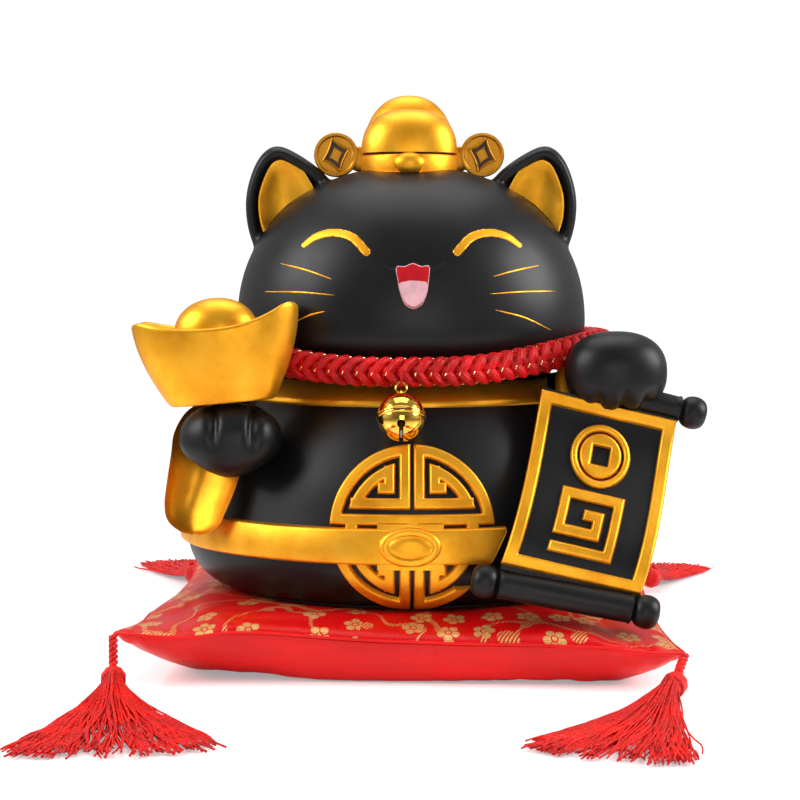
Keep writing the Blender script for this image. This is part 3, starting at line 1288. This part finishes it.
def torus(centre, hole_way, radius, wire, around=48, sides=12):
    """A wire ring about a centre, its hole facing along hole_way."""
    hole_way = np.asarray(hole_way, float) / np.linalg.norm(hole_way)
    a = np.cross(hole_way, [0.31, 0.87, 0.4])
    a /= np.linalg.norm(a)
    b = np.cross(hole_way, a)
    turn = np.linspace(0, 2 * np.pi, around, endpoint=False)[:, None, None]
    spin = np.linspace(0, 2 * np.pi, sides, endpoint=False)[None, :, None]
    out = np.cos(turn) * a + np.sin(turn) * b
    rings = centre + out * (radius + wire * np.cos(spin)) + hole_way * wire * np.sin(spin)
    points = rings.reshape(-1, 3)
    last = np.arange(sides) + (around - 1) * sides
    closing = np.stack(
        [last, (last + 1 - last[0]) % sides + last[0], (np.arange(sides) + 1) % sides, np.arange(sides)], -1
    )
    faces = np.vstack([grid_faces(around, sides), closing])
    if volume(points - centre, faces) < 0:
        faces = faces[:, ::-1]
    return points, faces.tolist()


eye_centre = BELL - BELL_DOWN * (BELL_RADIUS + 0.8)
make_piece(
    "bell_upper_shell", *gathered([lofted(bell_half(1)), torus(eye_centre, (1, 0, 0), 1.2, 0.4)]), BRASS,
    "bell", ["bell_upper_shell"], finish="bell_brass"
)
lower = make_piece(
    "bell_lower_shell", *lofted(bell_half(-1)), BRASS, "bell", ["bell_lower_shell"], finish="bell_brass"
)


def cut_away(piece, name, points, faces):
    """Cuts a closed body out of a piece and keeps the result as the piece's mesh."""
    cutter = make_piece(name, points, faces, BRASS, body=None)
    cut = piece.modifiers.new("cut", "BOOLEAN")
    cut.object = cutter
    cut.solver = "EXACT"
    bpy.context.view_layer.update()
    baked = bpy.data.meshes.new_from_object(piece.evaluated_get(bpy.context.evaluated_depsgraph_get()))
    piece.modifiers.remove(cut)
    piece.data = baked
    bpy.data.objects.remove(cutter)


slot_x = np.array([-1, 1, 1, -1.0])
slot_rings = np.array([np.stack([slot_x * 0.9, np.full(4, y), [-14, -14, -5, -5]], -1) for y in (-7.6, 7.6)])
cut_away(lower, "slot_cutter", *lofted(on_bell(slot_rings)))
for way in (-1, 1):
    hole_axis = np.array([0, way * 0.8, -0.6])
    hole = tube(np.array([hole_axis * 6.5, hole_axis * 9, hole_axis * 12]), 1.75, 32)
    cut_away(lower, "hole_cutter", *lofted(on_bell(hole)))
lower.data.set_sharp_from_angle(angle=radians(35))

ring_normal = np.cross([1.0, 0, 0], BELL_DOWN)
make_piece(
    "bell_jump_ring", *torus(RING_TOP + BELL_DOWN * 2.3, ring_normal, 2.3, 0.4), BRASS, "bell_ring",
    ["bell_jump_ring"], finish="bell_brass"
)
loop_centre = np.array([-4.5, -79.621, 123.27])
loop_points, loop_faces = torus(loop_centre, (1, 0, 0), 2.6, 0.5)
loop = make_piece(
    "bell_thread_loop", loop_points, loop_faces, RED_CORD, replaces=["bell_thread_loop"], finish="red_cord"
)
lay_uv(loop, loop_points[:, 1], loop_points[:, 2])


def dull_steel():
    """Tumbled steel shot."""
    material, surface, add, links = new_material("pellet_steel")
    place = add("ShaderNodeTexCoord").outputs["Object"]
    pits = add("ShaderNodeTexNoise", {"Vector": place, "Scale": 900, "Detail": 4})
    links.new(
        colour_ramp(add, pits.outputs["Fac"], [(0.3, (0.25, 0.25, 0.26)), (0.7, (0.5, 0.5, 0.5))]),
        surface.inputs["Base Color"]
    )
    surface.inputs["Metallic"].default_value = 1.0
    surface.inputs["Roughness"].default_value = 0.35
    return material


pellet = ball(25, 32, BELL + [0, 0, -5.9], (2.6, 2.6, 2.6))
make_piece("bell_pellet", *lofted(pellet), dull_steel(), "pellet", ["bell_pellet"], finish="steel")

# ---- Cushion -------------------------------------------------------------------------------------
# A square cushion sewn from a brocade panel on top and a plain satin one below, turned right side out and
# stuffed with wadding. Its sides pull in between the four corners, and the seam is drawn tight there.

CUSHION_HALF, CUSHION_PULL, CUSHION_TURN = 115.5, 5.0, radians(-3)
PANEL_CELLS = 72


def seam_level(u, v):
    """The seam's height: it runs straight between the heights of the four corners."""
    front = 18.5 - 3.0 * u
    back = 18.0 + 0.5 * u
    return front + (back - front) * (v + 1) / 2


def cushion_place(u, v, scale=1.0):
    """The plan of the cushion: a square whose sides are drawn in by a parabola, turned a little."""
    x = scale * u * (CUSHION_HALF - CUSHION_PULL * (1 - v * v))
    y = scale * v * (CUSHION_HALF - CUSHION_PULL * (1 - u * u))
    cos, sin = np.cos(CUSHION_TURN), np.sin(CUSHION_TURN)
    return x * cos - y * sin, x * sin + y * cos


def panel(rise, scale=1.0, cells=PANEL_CELLS):
    """One panel: from the seam it swells by `rise` times the root of (1 - u^2)(1 - v^2). The rows and columns
    are closer together near the sides."""
    even = np.linspace(-1, 1, cells + 1)
    spaced = np.sin(even * np.pi / 2) * 0.45 + even * 0.55
    u, v = np.meshgrid(spaced, spaced)
    x, y = cushion_place(u, v, scale)
    swell = np.sqrt(np.clip((1 - u * u) * (1 - v * v), 0, 1))
    return np.stack([x, y, seam_level(u, v) + rise * swell], -1), u, v


top, panel_u, panel_v = panel(12.5)
top[..., 2] = np.minimum(top[..., 2], 25.4)
bottom = panel(-50)[0]
bottom[..., 2] = np.maximum(bottom[..., 2], 0.6)

count = PANEL_CELLS + 1
top_at = np.arange(count * count).reshape(count, count)
bottom_at = top_at.copy()
bottom_at[1:-1, 1:-1] = count * count + np.arange((count - 2) ** 2).reshape(count - 2, count - 2)
quads = lambda at: np.stack([at[:-1, :-1], at[:-1, 1:], at[1:, 1:], at[1:, :-1]], -1).reshape(-1, 4)
bag_points = np.vstack([top.reshape(-1, 3), bottom[1:-1, 1:-1].reshape(-1, 3)])
bag_mesh = bpy.data.meshes.new("cushion_bag")
bag_mesh.from_pydata(
    (bag_points * 0.001).tolist(), [], np.vstack([quads(top_at), quads(bottom_at)[:, ::-1]]).tolist()
)
bag = bpy.data.objects.new("cushion_bag", bag_mesh)
bpy.context.collection.objects.link(bag)
cloth = bag.modifiers.new("stuffing", "CLOTH")
cloth.settings.quality = 5
cloth.settings.mass = 0.15
cloth.settings.bending_stiffness = 0.3
cloth.settings.shrink_min = -0.05
cloth.settings.use_pressure = True
cloth.settings.uniform_pressure_force = 4
cloth.settings.effector_weights.gravity = 0
cloth.point_cache.frame_start, cloth.point_cache.frame_end = 1, 20
scene = bpy.context.scene
for frame_number in range(1, 21):
    scene.frame_set(frame_number)
swollen = np.empty(len(bag_points) * 3, np.float32)
shown = bag.evaluated_get(bpy.context.evaluated_depsgraph_get())
shown.data.vertices.foreach_get("co", swollen)
moved = swollen.reshape(-1, 3) * 1000 - bag_points
reach = np.linalg.norm(moved, axis=1, keepdims=True)
cap = 5.0
moved *= cap * np.tanh(reach / cap) / np.maximum(reach, 1e-6)
bag_points = bag_points + moved * [0.7, 0.7, 0.5]
scene.frame_set(1)
bpy.data.objects.remove(bag)
from_corner = np.exp(-(((1 - np.abs(panel_u)) ** 2 + (1 - np.abs(panel_v)) ** 2) / 0.045))[..., None]
top = top * from_corner + bag_points[top_at] * (1 - from_corner)
bottom = bottom * from_corner + bag_points[bottom_at] * (1 - from_corner)

PRESSED_LEVEL, PRESSED_RADIUS = 25.6, 84
from_middle = np.hypot(top[..., 0], top[..., 1] / TORSO_DEPTH)
may_rise = 5 * np.clip((from_middle - PRESSED_RADIUS) / 30, 0, 1)
top[..., 2] = np.minimum(top[..., 2], PRESSED_LEVEL + may_rise)
bottom[..., 2] = np.maximum(bottom[..., 2], 0.05)


def pucker(points, u, v, up):
    """Gathers at the seam: near a side the surface waves along it, and the waves die away inwards."""
    side_gap = np.minimum(1 - np.abs(u), 1 - np.abs(v))
    along = np.where(1 - np.abs(u) < 1 - np.abs(v), v, u) * 110
    near = np.exp(-((side_gap / 0.09) ** 2)) * (1 - np.exp(-((side_gap / 0.012) ** 2)))
    wave = np.sin(along * 0.62 + 2.3 * np.sin(along * 0.13)) + 0.6 * np.sin(along * 1.07 + 1.7)
    gather = 0.35 + 1.1 * np.exp(-(((np.abs(u) + np.abs(v) - 2) / 0.35) ** 2))
    points = points.copy()
    points[..., 2] += up * near * wave * gather * 0.55
    return points


def cloth_panel(name, points, material, node, outward_up):
    """A panel as a sheet of cloth a little under a millimetre thick, with its lay in millimetres as UV."""
    rows, columns = points.shape[:2]
    faces = grid_faces(rows, columns, around=False)
    if not outward_up:
        faces = faces[:, ::-1]
    piece = make_piece(name, points.reshape(-1, 3), faces.tolist(), material, "cushion", [node], sharp=0)
    lay_uv(piece, panel_u * CUSHION_HALF, panel_v * CUSHION_HALF)
    thick = piece.modifiers.new("cloth_thickness", "SOLIDIFY")
    thick.thickness, thick.offset = 0.0008, -1
    finer = piece.modifiers.new("finer", "SUBSURF")
    finer.levels = finer.render_levels = 1
    return piece


def brocade():
    """Red satin ground with a woven gold figure: plum blossoms of five petals, each turned its own way, and
    hatched twigs between them. The gold is broken up by the weft lines."""
    material, surface, add, links = new_material("brocade")
    lay = add("ShaderNodeUVMap", uv_map="lay").outputs["UV"]
    cells = add(
        "ShaderNodeTexVoronoi", {"Vector": lay, "Scale": 1 / 14.5, "Randomness": 0.82}, voronoi_dimensions="2D"
    )
    apart = add(
        "ShaderNodeVectorMath", {0: lay, 1: cells.outputs["Position"]}, operation="SUBTRACT"
    ).outputs["Vector"]
    parts = add("ShaderNodeSeparateXYZ", {"Vector": apart})
    chance = add("ShaderNodeSeparateColor", {"Color": cells.outputs["Color"]})
    x, y = parts.outputs["X"], parts.outputs["Y"]
    reach = math(add, "SQRT", math(add, "ADD", math(add, "MULTIPLY", x, x), math(add, "MULTIPLY", y, y)))
    angle = math(add, "ADD", math(add, "ARCTAN2", y, x), math(add, "MULTIPLY", chance.outputs["Green"], 6.28))
    lobe = math(add, "ABSOLUTE", math(add, "COSINE", math(add, "MULTIPLY", angle, 2.5)))
    edge = math(add, "ADD", 2.6, math(add, "MULTIPLY", math(add, "POWER", lobe, 0.6), 2.3))
    petal = math(add, "LESS_THAN", reach, edge)
    eye_ring = math(add, "LESS_THAN", math(add, "ABSOLUTE", math(add, "SUBTRACT", reach, 1.35)), 0.32)
    vein = math(add, "MULTIPLY", math(add, "LESS_THAN", lobe, 0.2), math(add, "GREATER_THAN", reach, 1.5))
    vein_or_ring = math(add, "MAXIMUM", eye_ring, vein)
    blossom = math(add, "MULTIPLY", petal, math(add, "SUBTRACT", 1.0, vein_or_ring))
    blossom = math(add, "MULTIPLY", blossom, math(add, "GREATER_THAN", chance.outputs["Red"], 0.42))
    drift = add(
        "ShaderNodeTexNoise", {"Vector": lay, "Scale": 0.028, "Detail": 1.0}, noise_dimensions="2D"
    ).outputs["Fac"]
    twig = math(add, "LESS_THAN", math(add, "ABSOLUTE", math(add, "SUBTRACT", drift, 0.47)), 0.018)
    hatch_line = add("ShaderNodeMapping", {"Vector": lay, "Rotation": (0, 0, 0.6)}).outputs["Vector"]
    hatch_x = add("ShaderNodeSeparateXYZ", {"Vector": hatch_line}).outputs["X"]
    hatch = math(add, "GREATER_THAN", math(add, "SINE", math(add, "MULTIPLY", hatch_x, 4.6)), -0.1)
    leafy = math(
        add, "LESS_THAN", reach, math(add, "ADD", 2.0, math(add, "MULTIPLY", chance.outputs["Blue"], 3.0))
    )
    leafy = math(add, "MULTIPLY", leafy, math(add, "LESS_THAN", chance.outputs["Red"], 0.2))
    figure = math(add, "MAXIMUM", blossom, math(add, "MULTIPLY", hatch, math(add, "MAXIMUM", twig, leafy)))
    weft_y = add("ShaderNodeSeparateXYZ", {"Vector": lay}).outputs["Y"]
    weft = add("ShaderNodeMath", {0: math(add, "MULTIPLY", weft_y, 9.0)}, operation="SINE").outputs[0]
    broken = math(
        add, "MULTIPLY", figure,
        add(
            "ShaderNodeMapRange",
            {"Value": weft, "From Min": -1.0, "From Max": -0.1, "To Min": 0.45, "To Max": 1.0}
        ).outputs["Result"]
    )
    mottled = add("ShaderNodeTexNoise", {"Vector": lay, "Scale": 0.9, "Detail": 4})
    red = colour_ramp(add, mottled.outputs["Fac"], [(0.3, (0.46, 0.0006, 0.002)), (0.7, (0.70, 0.001, 0.003))])
    gold = colour_ramp(add, mottled.outputs["Fac"], [(0.3, (0.62, 0.33, 0.09)), (0.7, (0.88, 0.58, 0.22))])
    mixed = add("ShaderNodeMix", data_type="RGBA")
    links.new(broken, mixed.inputs["Factor"])
    links.new(red, mixed.inputs[6])
    links.new(gold, mixed.inputs[7])
    links.new(mixed.outputs[2], surface.inputs["Base Color"])
    links.new(math(add, "MULTIPLY", broken, 0.55), surface.inputs["Metallic"])
    shine = add("ShaderNodeMapRange", {"Value": figure, "To Min": 0.33, "To Max": 0.42})
    links.new(shine.outputs["Result"], surface.inputs["Roughness"])
    surface.inputs["Specular IOR Level"].default_value = 0.3
    surface.inputs["Sheen Weight"].default_value = 0.03
    surface.inputs["Sheen Tint"].default_value = (1, 0.25, 0.1, 1)
    twill = add(
        "ShaderNodeTexNoise",
        {
            "Vector": add(
                "ShaderNodeMapping", {"Vector": lay, "Rotation": (0, 0, 0.5), "Scale": (0.35, 5.0, 1)}
            ).outputs["Vector"],
            "Scale": 1.0, "Detail": 2
        }
    )
    height = math(
        add, "ADD", math(add, "MULTIPLY", twill.outputs["Fac"], 0.6),
        math(add, "ADD", figure, math(add, "MULTIPLY", weft, 0.12))
    )
    bump = add("ShaderNodeBump", {"Height": height, "Strength": 0.3, "Distance": 0.00025})
    links.new(bump.outputs["Normal"], surface.inputs["Normal"])
    return material


def satin():
    """Plain red satin: fine threads across it, faint long ripples, and one upright overlapped join in the
    front side where the strip's ends are sewn together."""
    material, surface, add, links = new_material("satin")
    place = add("ShaderNodeTexCoord").outputs["Object"]
    threads = add(
        "ShaderNodeTexNoise",
        {
            "Vector": add("ShaderNodeMapping", {"Vector": place, "Scale": (90, 90, 3200)}).outputs["Vector"],
            "Scale": 1.0, "Detail": 3
        }
    )
    ripples = add(
        "ShaderNodeTexNoise",
        {
            "Vector": add("ShaderNodeMapping", {"Vector": place, "Scale": (26, 26, 150)}).outputs["Vector"],
            "Scale": 1.0, "Detail": 3
        }
    )
    links.new(
        colour_ramp(add, ripples.outputs["Fac"], [(0.3, (0.66, 0.0004, 0.001)), (0.7, (0.84, 0.0006, 0.001))]),
        surface.inputs["Base Color"]
    )
    shine = add(
        "ShaderNodeMapRange",
        {"Value": threads.outputs["Fac"], "From Min": 0.3, "From Max": 0.7, "To Min": 0.26, "To Max": 0.4}
    )
    links.new(shine.outputs["Result"], surface.inputs["Roughness"])
    surface.inputs["Specular IOR Level"].default_value = 0.3
    surface.inputs["Sheen Weight"].default_value = 0.03
    surface.inputs["Sheen Tint"].default_value = (1, 0.25, 0.1, 1)
    x = add("ShaderNodeSeparateXYZ", {"Vector": place}).outputs["X"]
    across = math(add, "ABSOLUTE", math(add, "SUBTRACT", x, 0.0058))
    join = add(
        "ShaderNodeMapRange",
        {"Value": across, "From Min": 0.0034, "From Max": 0.0040, "To Min": 1.0, "To Max": 0.0}
    ).outputs["Result"]
    fine = math(
        add, "ADD", math(add, "MULTIPLY", threads.outputs["Fac"], 0.25),
        math(add, "MULTIPLY", ripples.outputs["Fac"], 1.2)
    )
    bump = add(
        "ShaderNodeBump",
        {
            "Height": math(add, "ADD", fine, math(add, "MULTIPLY", join, 1.6)), "Strength": 0.35,
            "Distance": 0.0005
        }
    )
    links.new(bump.outputs["Normal"], surface.inputs["Normal"])
    return material


top_cover = cloth_panel("cushion_top", pucker(top, panel_u, panel_v, 1), brocade(), "cushion_top_cover", True)
SATIN = satin()
bottom_cover = cloth_panel(
    "cushion_bottom", pucker(bottom, panel_u, panel_v, -1), SATIN, "cushion_bottom_cover", False
)

border = np.concatenate([top[0, :-1], top[:-1, -1], top[-1, :0:-1], top[:0:-1, 0]])
border_loop = np.vstack([border, border[:1]])
border_length = np.concatenate([[0], np.cumsum(np.linalg.norm(np.diff(border_loop, axis=0), axis=1))])


def on_border(length):
    """A point of the seam at a length along it."""
    length = np.mod(length, border_length[-1])
    return np.stack([np.interp(length, border_length, border_loop[:, k]) for k in range(3)], -1)


def seam_stitches():
    """Short drawn-in stitches along the seam, each a pinched bead lying along it."""
    starts = np.arange(0, border_length[-1] - 3.2, 3.1)
    bodies = []
    for begin in starts:
        line = on_border(np.linspace(begin, begin + 2.3, 5))
        bodies.append(lofted(tube(line, [0.12, 0.42, 0.5, 0.42, 0.12], 6)))
    return gathered(bodies)


seam_line = on_border(np.linspace(0, border_length[-1] - 2, 520))
make_piece("cushion_seam_roll", *lofted(tube(seam_line, 0.62, 8)), SATIN, "cushion", sharp=0, finish="satin")
make_piece("cushion_stitches", *seam_stitches(), RED_CORD, "cushion", sharp=0, finish="red_cord")


def wadding_body():
    """The stuffing: both panels drawn in by a third towards the surface halfway between them, and by a
    seventh towards the cushion's middle."""
    halfway = (top + bottom) / 2
    fatness, shrink = 0.68, [0.86, 0.86, 1]
    upper = (halfway + (top - halfway) * fatness) * shrink
    lower = (halfway + (bottom - halfway) * fatness) * shrink
    return slab(upper, lower)


wadding = make_piece(
    "cushion_stuffing", *wadding_body(),
    fibre_cloth("wadding", (0.55, 0.55, 0.53), (0.85, 0.85, 0.83), 300, 0.95), "cushion", ["cushion_wadding"],
    sharp=0, finish="wadding"
)

# ---- Tassels -------------------------------------------------------------------------------------
# Silky red yarn tassels, one at each corner: a short twisted cord, a wrapped head, and a skirt of twisted
# threads that lies fanned out on whatever the cushion rests on.


def strands(routes, radius, sides):
    """Many thin closed tubes at once, from routes of shape (strands, points, 3): at each point a ring is laid
    square to the way, starting from its level side direction."""
    way = np.gradient(routes, axis=1)
    way /= np.linalg.norm(way, axis=2, keepdims=True) + 1e-9
    side = np.cross(way, [0.02, 0.01, 1.0])
    side /= np.linalg.norm(side, axis=2, keepdims=True) + 1e-9
    rise = np.cross(side, way)
    turn = np.linspace(0, 2 * np.pi, sides, endpoint=False)
    ring = side[:, :, None] * np.cos(turn)[:, None] + rise[:, :, None] * np.sin(turn)[:, None]
    points = routes[:, :, None] + ring * radius[..., None, None]
    many, steps = routes.shape[:2]
    one = grid_faces(steps, sides)
    quads = (one[None] + (np.arange(many) * steps * sides)[:, None, None]).reshape(-1, 4)
    caps = []
    for start in np.arange(many) * steps * sides:
        caps.append((start + np.arange(sides)[::-1]).tolist())
        caps.append((start + (steps - 1) * sides + np.arange(sides)).tolist())
    points = points.reshape(-1, 3)
    if volume(points - points.mean(0), quads) < 0:
        quads, caps = quads[:, ::-1], [cap[::-1] for cap in caps]
    return points, quads.tolist() + caps


THREAD_RED = silk_cord("tassel_thread", (0.40, 0.0005, 0.001), (0.86, 0.003, 0.001), fibre=3.5)


def tassel(name, u, v, way, spread, seed, open_more=0.0):
    """The tassel leaves its corner, drops to the floor and lies there. Its cord is two plies wound about one
    line, its head a bulb with turns of thread round its neck, and its threads start inside the head, fall to
    the floor and spread, each with its own sideways wave."""
    chance = np.random.default_rng(seed)
    way = np.array([*way, 0.0]) / np.hypot(*way)
    side = np.array([-way[1], way[0], 0.0])
    corner = np.array([*cushion_place(u, v), seam_level(u, v)])
    at = lambda along, level, across=0.0: np.stack(
        [
            corner[0] + way[0] * along + side[0] * across, corner[1] + way[1] * along + side[1] * across,
            level + 0 * along
        ],
        -1
    )
    stand = "tassel_" + name

    t = np.linspace(0, 1, 44)
    start, end = at(np.array(1.6), corner[2] - 0.3), at(np.array(14.6), 7.9)
    bend = at(np.array(7.0), (corner[2] + 6.4) / 2 + 2.4)
    line = start * ((1 - t) ** 2)[:, None] + bend * (2 * t * (1 - t))[:, None] + end * (t * t)[:, None]
    tangent = np.gradient(line, axis=0)
    tangent /= np.linalg.norm(tangent, axis=1, keepdims=True)
    across = np.cross(tangent, side)
    length = np.concatenate([[0], np.cumsum(np.linalg.norm(np.diff(line, axis=0), axis=1))])
    plies = []
    for phase in (0, np.pi):
        spin = 2 * np.pi * length / 5.2 + phase
        plies.append(lofted(tube(
            line + 0.95 * (side * np.cos(spin)[:, None] + across * np.sin(spin)[:, None]), 1.02, 10
        )))
    cord = make_piece(
        stand + "_cord", *gathered(plies), THREAD_RED, stand, [f"tassel_cord_{name}"], sharp=0,
        finish="red_cord"
    )
    lay_uv(cord, np.tile(np.repeat(length, 10), 2), np.tile(np.tile(np.arange(10) * 0.64, len(length)), 2))

    share = np.linspace(0, 1, 40)
    head_line = at(13.2 + share * 13.4, 7.2 - 1.4 * share)
    swell = 3.9 * np.sqrt(np.clip(1 - np.abs((share - 0.36) / 0.44) ** 2.4, 0, 1))
    bulb = 1.2 + swell * (share < 0.75) + 2.6 * (share >= 0.62)
    bulb = np.minimum(bulb, 5.0)
    bulb = np.convolve(np.pad(bulb, 2, mode="edge"), np.ones(5) / 5, "valid")
    neck = (share > 0.66) & (share < 0.9)
    bulb = np.where(neck, 3.75 + 0.22 * np.cos(share * 13.4 * 2 * np.pi / 0.9), bulb)
    head = tube(head_line, bulb, 40)
    spoke = (
        1 + 0.025 * np.cos(np.arange(40) * 2 * np.pi * 10 / 40)[None, :, None] * (share < 0.64)[:, None, None]
    )
    head = head_line[:, None] + (head - head_line[:, None]) * spoke
    head_piece = make_piece(
        stand + "_head", *lofted(head), THREAD_RED, stand, [f"tassel_head_{name}"], sharp=0, finish="red_cord"
    )
    lay_uv(
        head_piece,
        np.where(neck, 0, share * 13)[:, None] + np.where(neck[:, None], np.arange(40)[None, :] * 0.6, 0),
        np.arange(40)[None, :] * 0.8 + np.where(neck, share * 30, 0)[:, None]
    )

    many, steps = 230, 20
    t = np.linspace(0, 1, steps)[None, :]
    fan = chance.uniform(-1, 1, (many, 1))
    fan = np.sign(fan) * np.abs(fan) ** 0.85
    layer = chance.uniform(0, 1, (many, 1))
    long = 98 * (0.6 + 0.4 * spread) * chance.uniform(0.8, 1.0, (many, 1)) ** 0.8 * np.sqrt(1 - 0.16 * fan**2)
    width = (30 + 5 * open_more) * spread
    wave = chance.uniform(0, 6.28, (many, 1))
    clump = np.round(fan * 9) / 9
    fan = fan + (clump - fan) * chance.uniform(0.0, 0.9, (many, 1))
    wander = (
        2.1 * np.sin(t * chance.uniform(4, 13, (many, 1)) + wave) * t
        + chance.normal(0, 1.6, (many, 1)) * t**2
    )
    sideways = fan * (3.2 + (width - 3.2) * t**1.08) + wander
    pile = 0.55 + layer * (1 - 0.55 * np.abs(fan)) * 8.5 * np.exp(-2.2 * t)
    drop = 4.4 * np.exp(-((t / 0.22) ** 1.3))
    level = np.maximum(0.42 + pile + drop * (1 - 0.2 * layer) - 0.25 * t, 0.42)
    level = level + 0.9 * np.abs(np.sin(t * chance.uniform(3, 9, (many, 1)) + wave)) * t * layer
    along = 25.3 + t * long
    routes = at(along, level, sideways)
    thin = chance.uniform(0.36, 0.58, (many, 1)) * (1 - 0.15 * t + 0.12 * np.sin(t * 60 + wave))
    threads = make_piece(
        stand + "_threads", *strands(routes, thin + 0 * t, 5), THREAD_RED, stand, [f"tassel_skirt_{name}"],
        sharp=0, finish="red_cord"
    )
    lay_uv(threads, np.repeat((along + fan * 40).ravel(), 5), np.tile(np.arange(5) * 0.4, many * steps))


tassel("front_left", -1, -1, (16, -120), 1.0, 11, 1.6)
tassel("front_right", 1, -1, (-44, -110), 1.0, 12)
tassel("back_left", -1, 1, (-20, 80), 0.6, 7)
tassel("back_right", 1, 1, (22, 80), 0.6, 14)

# ---- Floor and lights ----------------------------------------------------------------------------
# A glossy white table that runs up into a white backdrop, a large soft light on each side, one above and a
# weak one in front.


def white_table():
    """White acrylic with a soft mirror near the object. Further out it turns into the lit white sweep."""
    material, surface, add, links = new_material("white_table")
    place = add("ShaderNodeTexCoord").outputs["Object"]
    faint = add("ShaderNodeTexNoise", {"Vector": place, "Scale": 30, "Detail": 3})
    links.new(
        colour_ramp(add, faint.outputs["Fac"], [(0.3, (0.93, 0.93, 0.935)), (0.7, (0.95, 0.95, 0.955))]),
        surface.inputs["Base Color"]
    )
    surface.inputs["Roughness"].default_value = 0.07
    far = add("ShaderNodeVectorMath", {0: place}, operation="LENGTH").outputs["Value"]
    share = add(
        "ShaderNodeMapRange", {"Value": far, "From Min": 0.25, "From Max": 0.75, "To Min": 0.0, "To Max": 1.0},
        interpolation_type="SMOOTHSTEP"
    ).outputs["Result"]
    seen = add("ShaderNodeLightPath").outputs["Is Camera Ray"]
    strength = add("ShaderNodeMapRange", {"Value": seen, "To Min": 0.3, "To Max": 1.1}).outputs["Result"]
    sweep = add("ShaderNodeEmission", {"Color": (1, 1, 1, 1), "Strength": strength})
    near_glow = add(
        "ShaderNodeEmission", {"Color": (1, 1, 1, 1), "Strength": math(add, "MULTIPLY", seen, 0.32)}
    )
    lifted = add("ShaderNodeAddShader", {0: surface.outputs[0], 1: near_glow.outputs[0]})
    both = add("ShaderNodeMixShader", {0: share, 1: lifted.outputs[0], 2: sweep.outputs[0]})
    links.new(both.outputs[0], material.node_tree.nodes["Material Output"].inputs["Surface"])
    return material


floor_mesh = bpy.data.meshes.new("table_top")
floor_mesh.from_pydata(
    [(-6, -6, -0.0004), (6, -6, -0.0004), (6, 6, -0.0004), (-6, 6, -0.0004)], [], [(0, 1, 2, 3)]
)
floor_mesh.materials.append(white_table())
floor = bpy.data.objects.new("table_top", floor_mesh)
bpy.context.collection.objects.link(floor)


def studio_world():
    """Dim in front, brighter to the sides, above and behind: by the fourth power of the direction's X, and by
    its Z and its Y where they are positive. What is seen directly behind the object is plain white."""
    world = bpy.data.worlds.new("studio")
    world.use_nodes = True
    nodes, links = world.node_tree.nodes, world.node_tree.links
    way = nodes.new("ShaderNodeSeparateXYZ")
    links.new(nodes.new("ShaderNodeTexCoord").outputs["Generated"], way.inputs[0])

    def step(operation, *values):
        """One value from a math node in the world's own tree."""
        node = nodes.new("ShaderNodeMath")
        node.operation = operation
        for k, value in enumerate(values):
            if isinstance(value, float):
                node.inputs[k].default_value = value
            else:
                links.new(value, node.inputs[k])
        return node.outputs[0]

    sides = step("MULTIPLY", step("POWER", step("ABSOLUTE", way.outputs["X"]), 4.0), 0.6)
    above = step("MULTIPLY", step("MAXIMUM", way.outputs["Z"], 0.0), 0.22)
    behind = step("MULTIPLY", step("MAXIMUM", way.outputs["Y"], 0.0), 0.35)
    total = step("ADD", step("ADD", sides, above), step("ADD", behind, 0.09))
    lit = nodes["Background"]
    lit.inputs["Color"].default_value = (1, 1, 1, 1)
    links.new(total, lit.inputs["Strength"])
    backdrop = nodes.new("ShaderNodeBackground")
    backdrop.inputs["Color"].default_value = (1, 1, 1, 1)
    backdrop.inputs["Strength"].default_value = 1.1
    either = nodes.new("ShaderNodeMixShader")
    links.new(nodes.new("ShaderNodeLightPath").outputs["Is Camera Ray"], either.inputs[0])
    links.new(lit.outputs[0], either.inputs[1])
    links.new(backdrop.outputs[0], either.inputs[2])
    links.new(either.outputs[0], nodes["World Output"].inputs["Surface"])
    return world


bpy.context.scene.world = studio_world()
bpy.context.scene.view_settings.view_transform = "Standard"


def soft_light(name, place, aim, size, power):
    """A square area light at a place, in metres, turned towards an aim."""
    light = bpy.data.lights.new(name, "AREA")
    light.shape, light.size, light.energy = "SQUARE", size, power
    lamp = bpy.data.objects.new(name, light)
    bpy.context.collection.objects.link(lamp)
    lamp.location = place
    way = np.array(aim, float) - np.array(place, float)
    flat = np.hypot(way[0], way[1])
    lamp.rotation_euler = (np.arctan2(flat, -way[2]), 0, np.arctan2(way[1], way[0]) - np.pi / 2)


soft_light("left_softbox", (-0.95, -0.35, 0.75), (0, 0, 0.14), 0.7, 12)
soft_light("right_softbox", (1.0, -0.2, 0.6), (0, 0, 0.12), 0.6, 13)
soft_light("top_softbox", (0.0, 0.2, 1.3), (0, 0, 0), 1.0, 8)
soft_light("front_softbox", (0.1, -1.5, 0.25), (0, 0, 0.1), 0.5, 3)
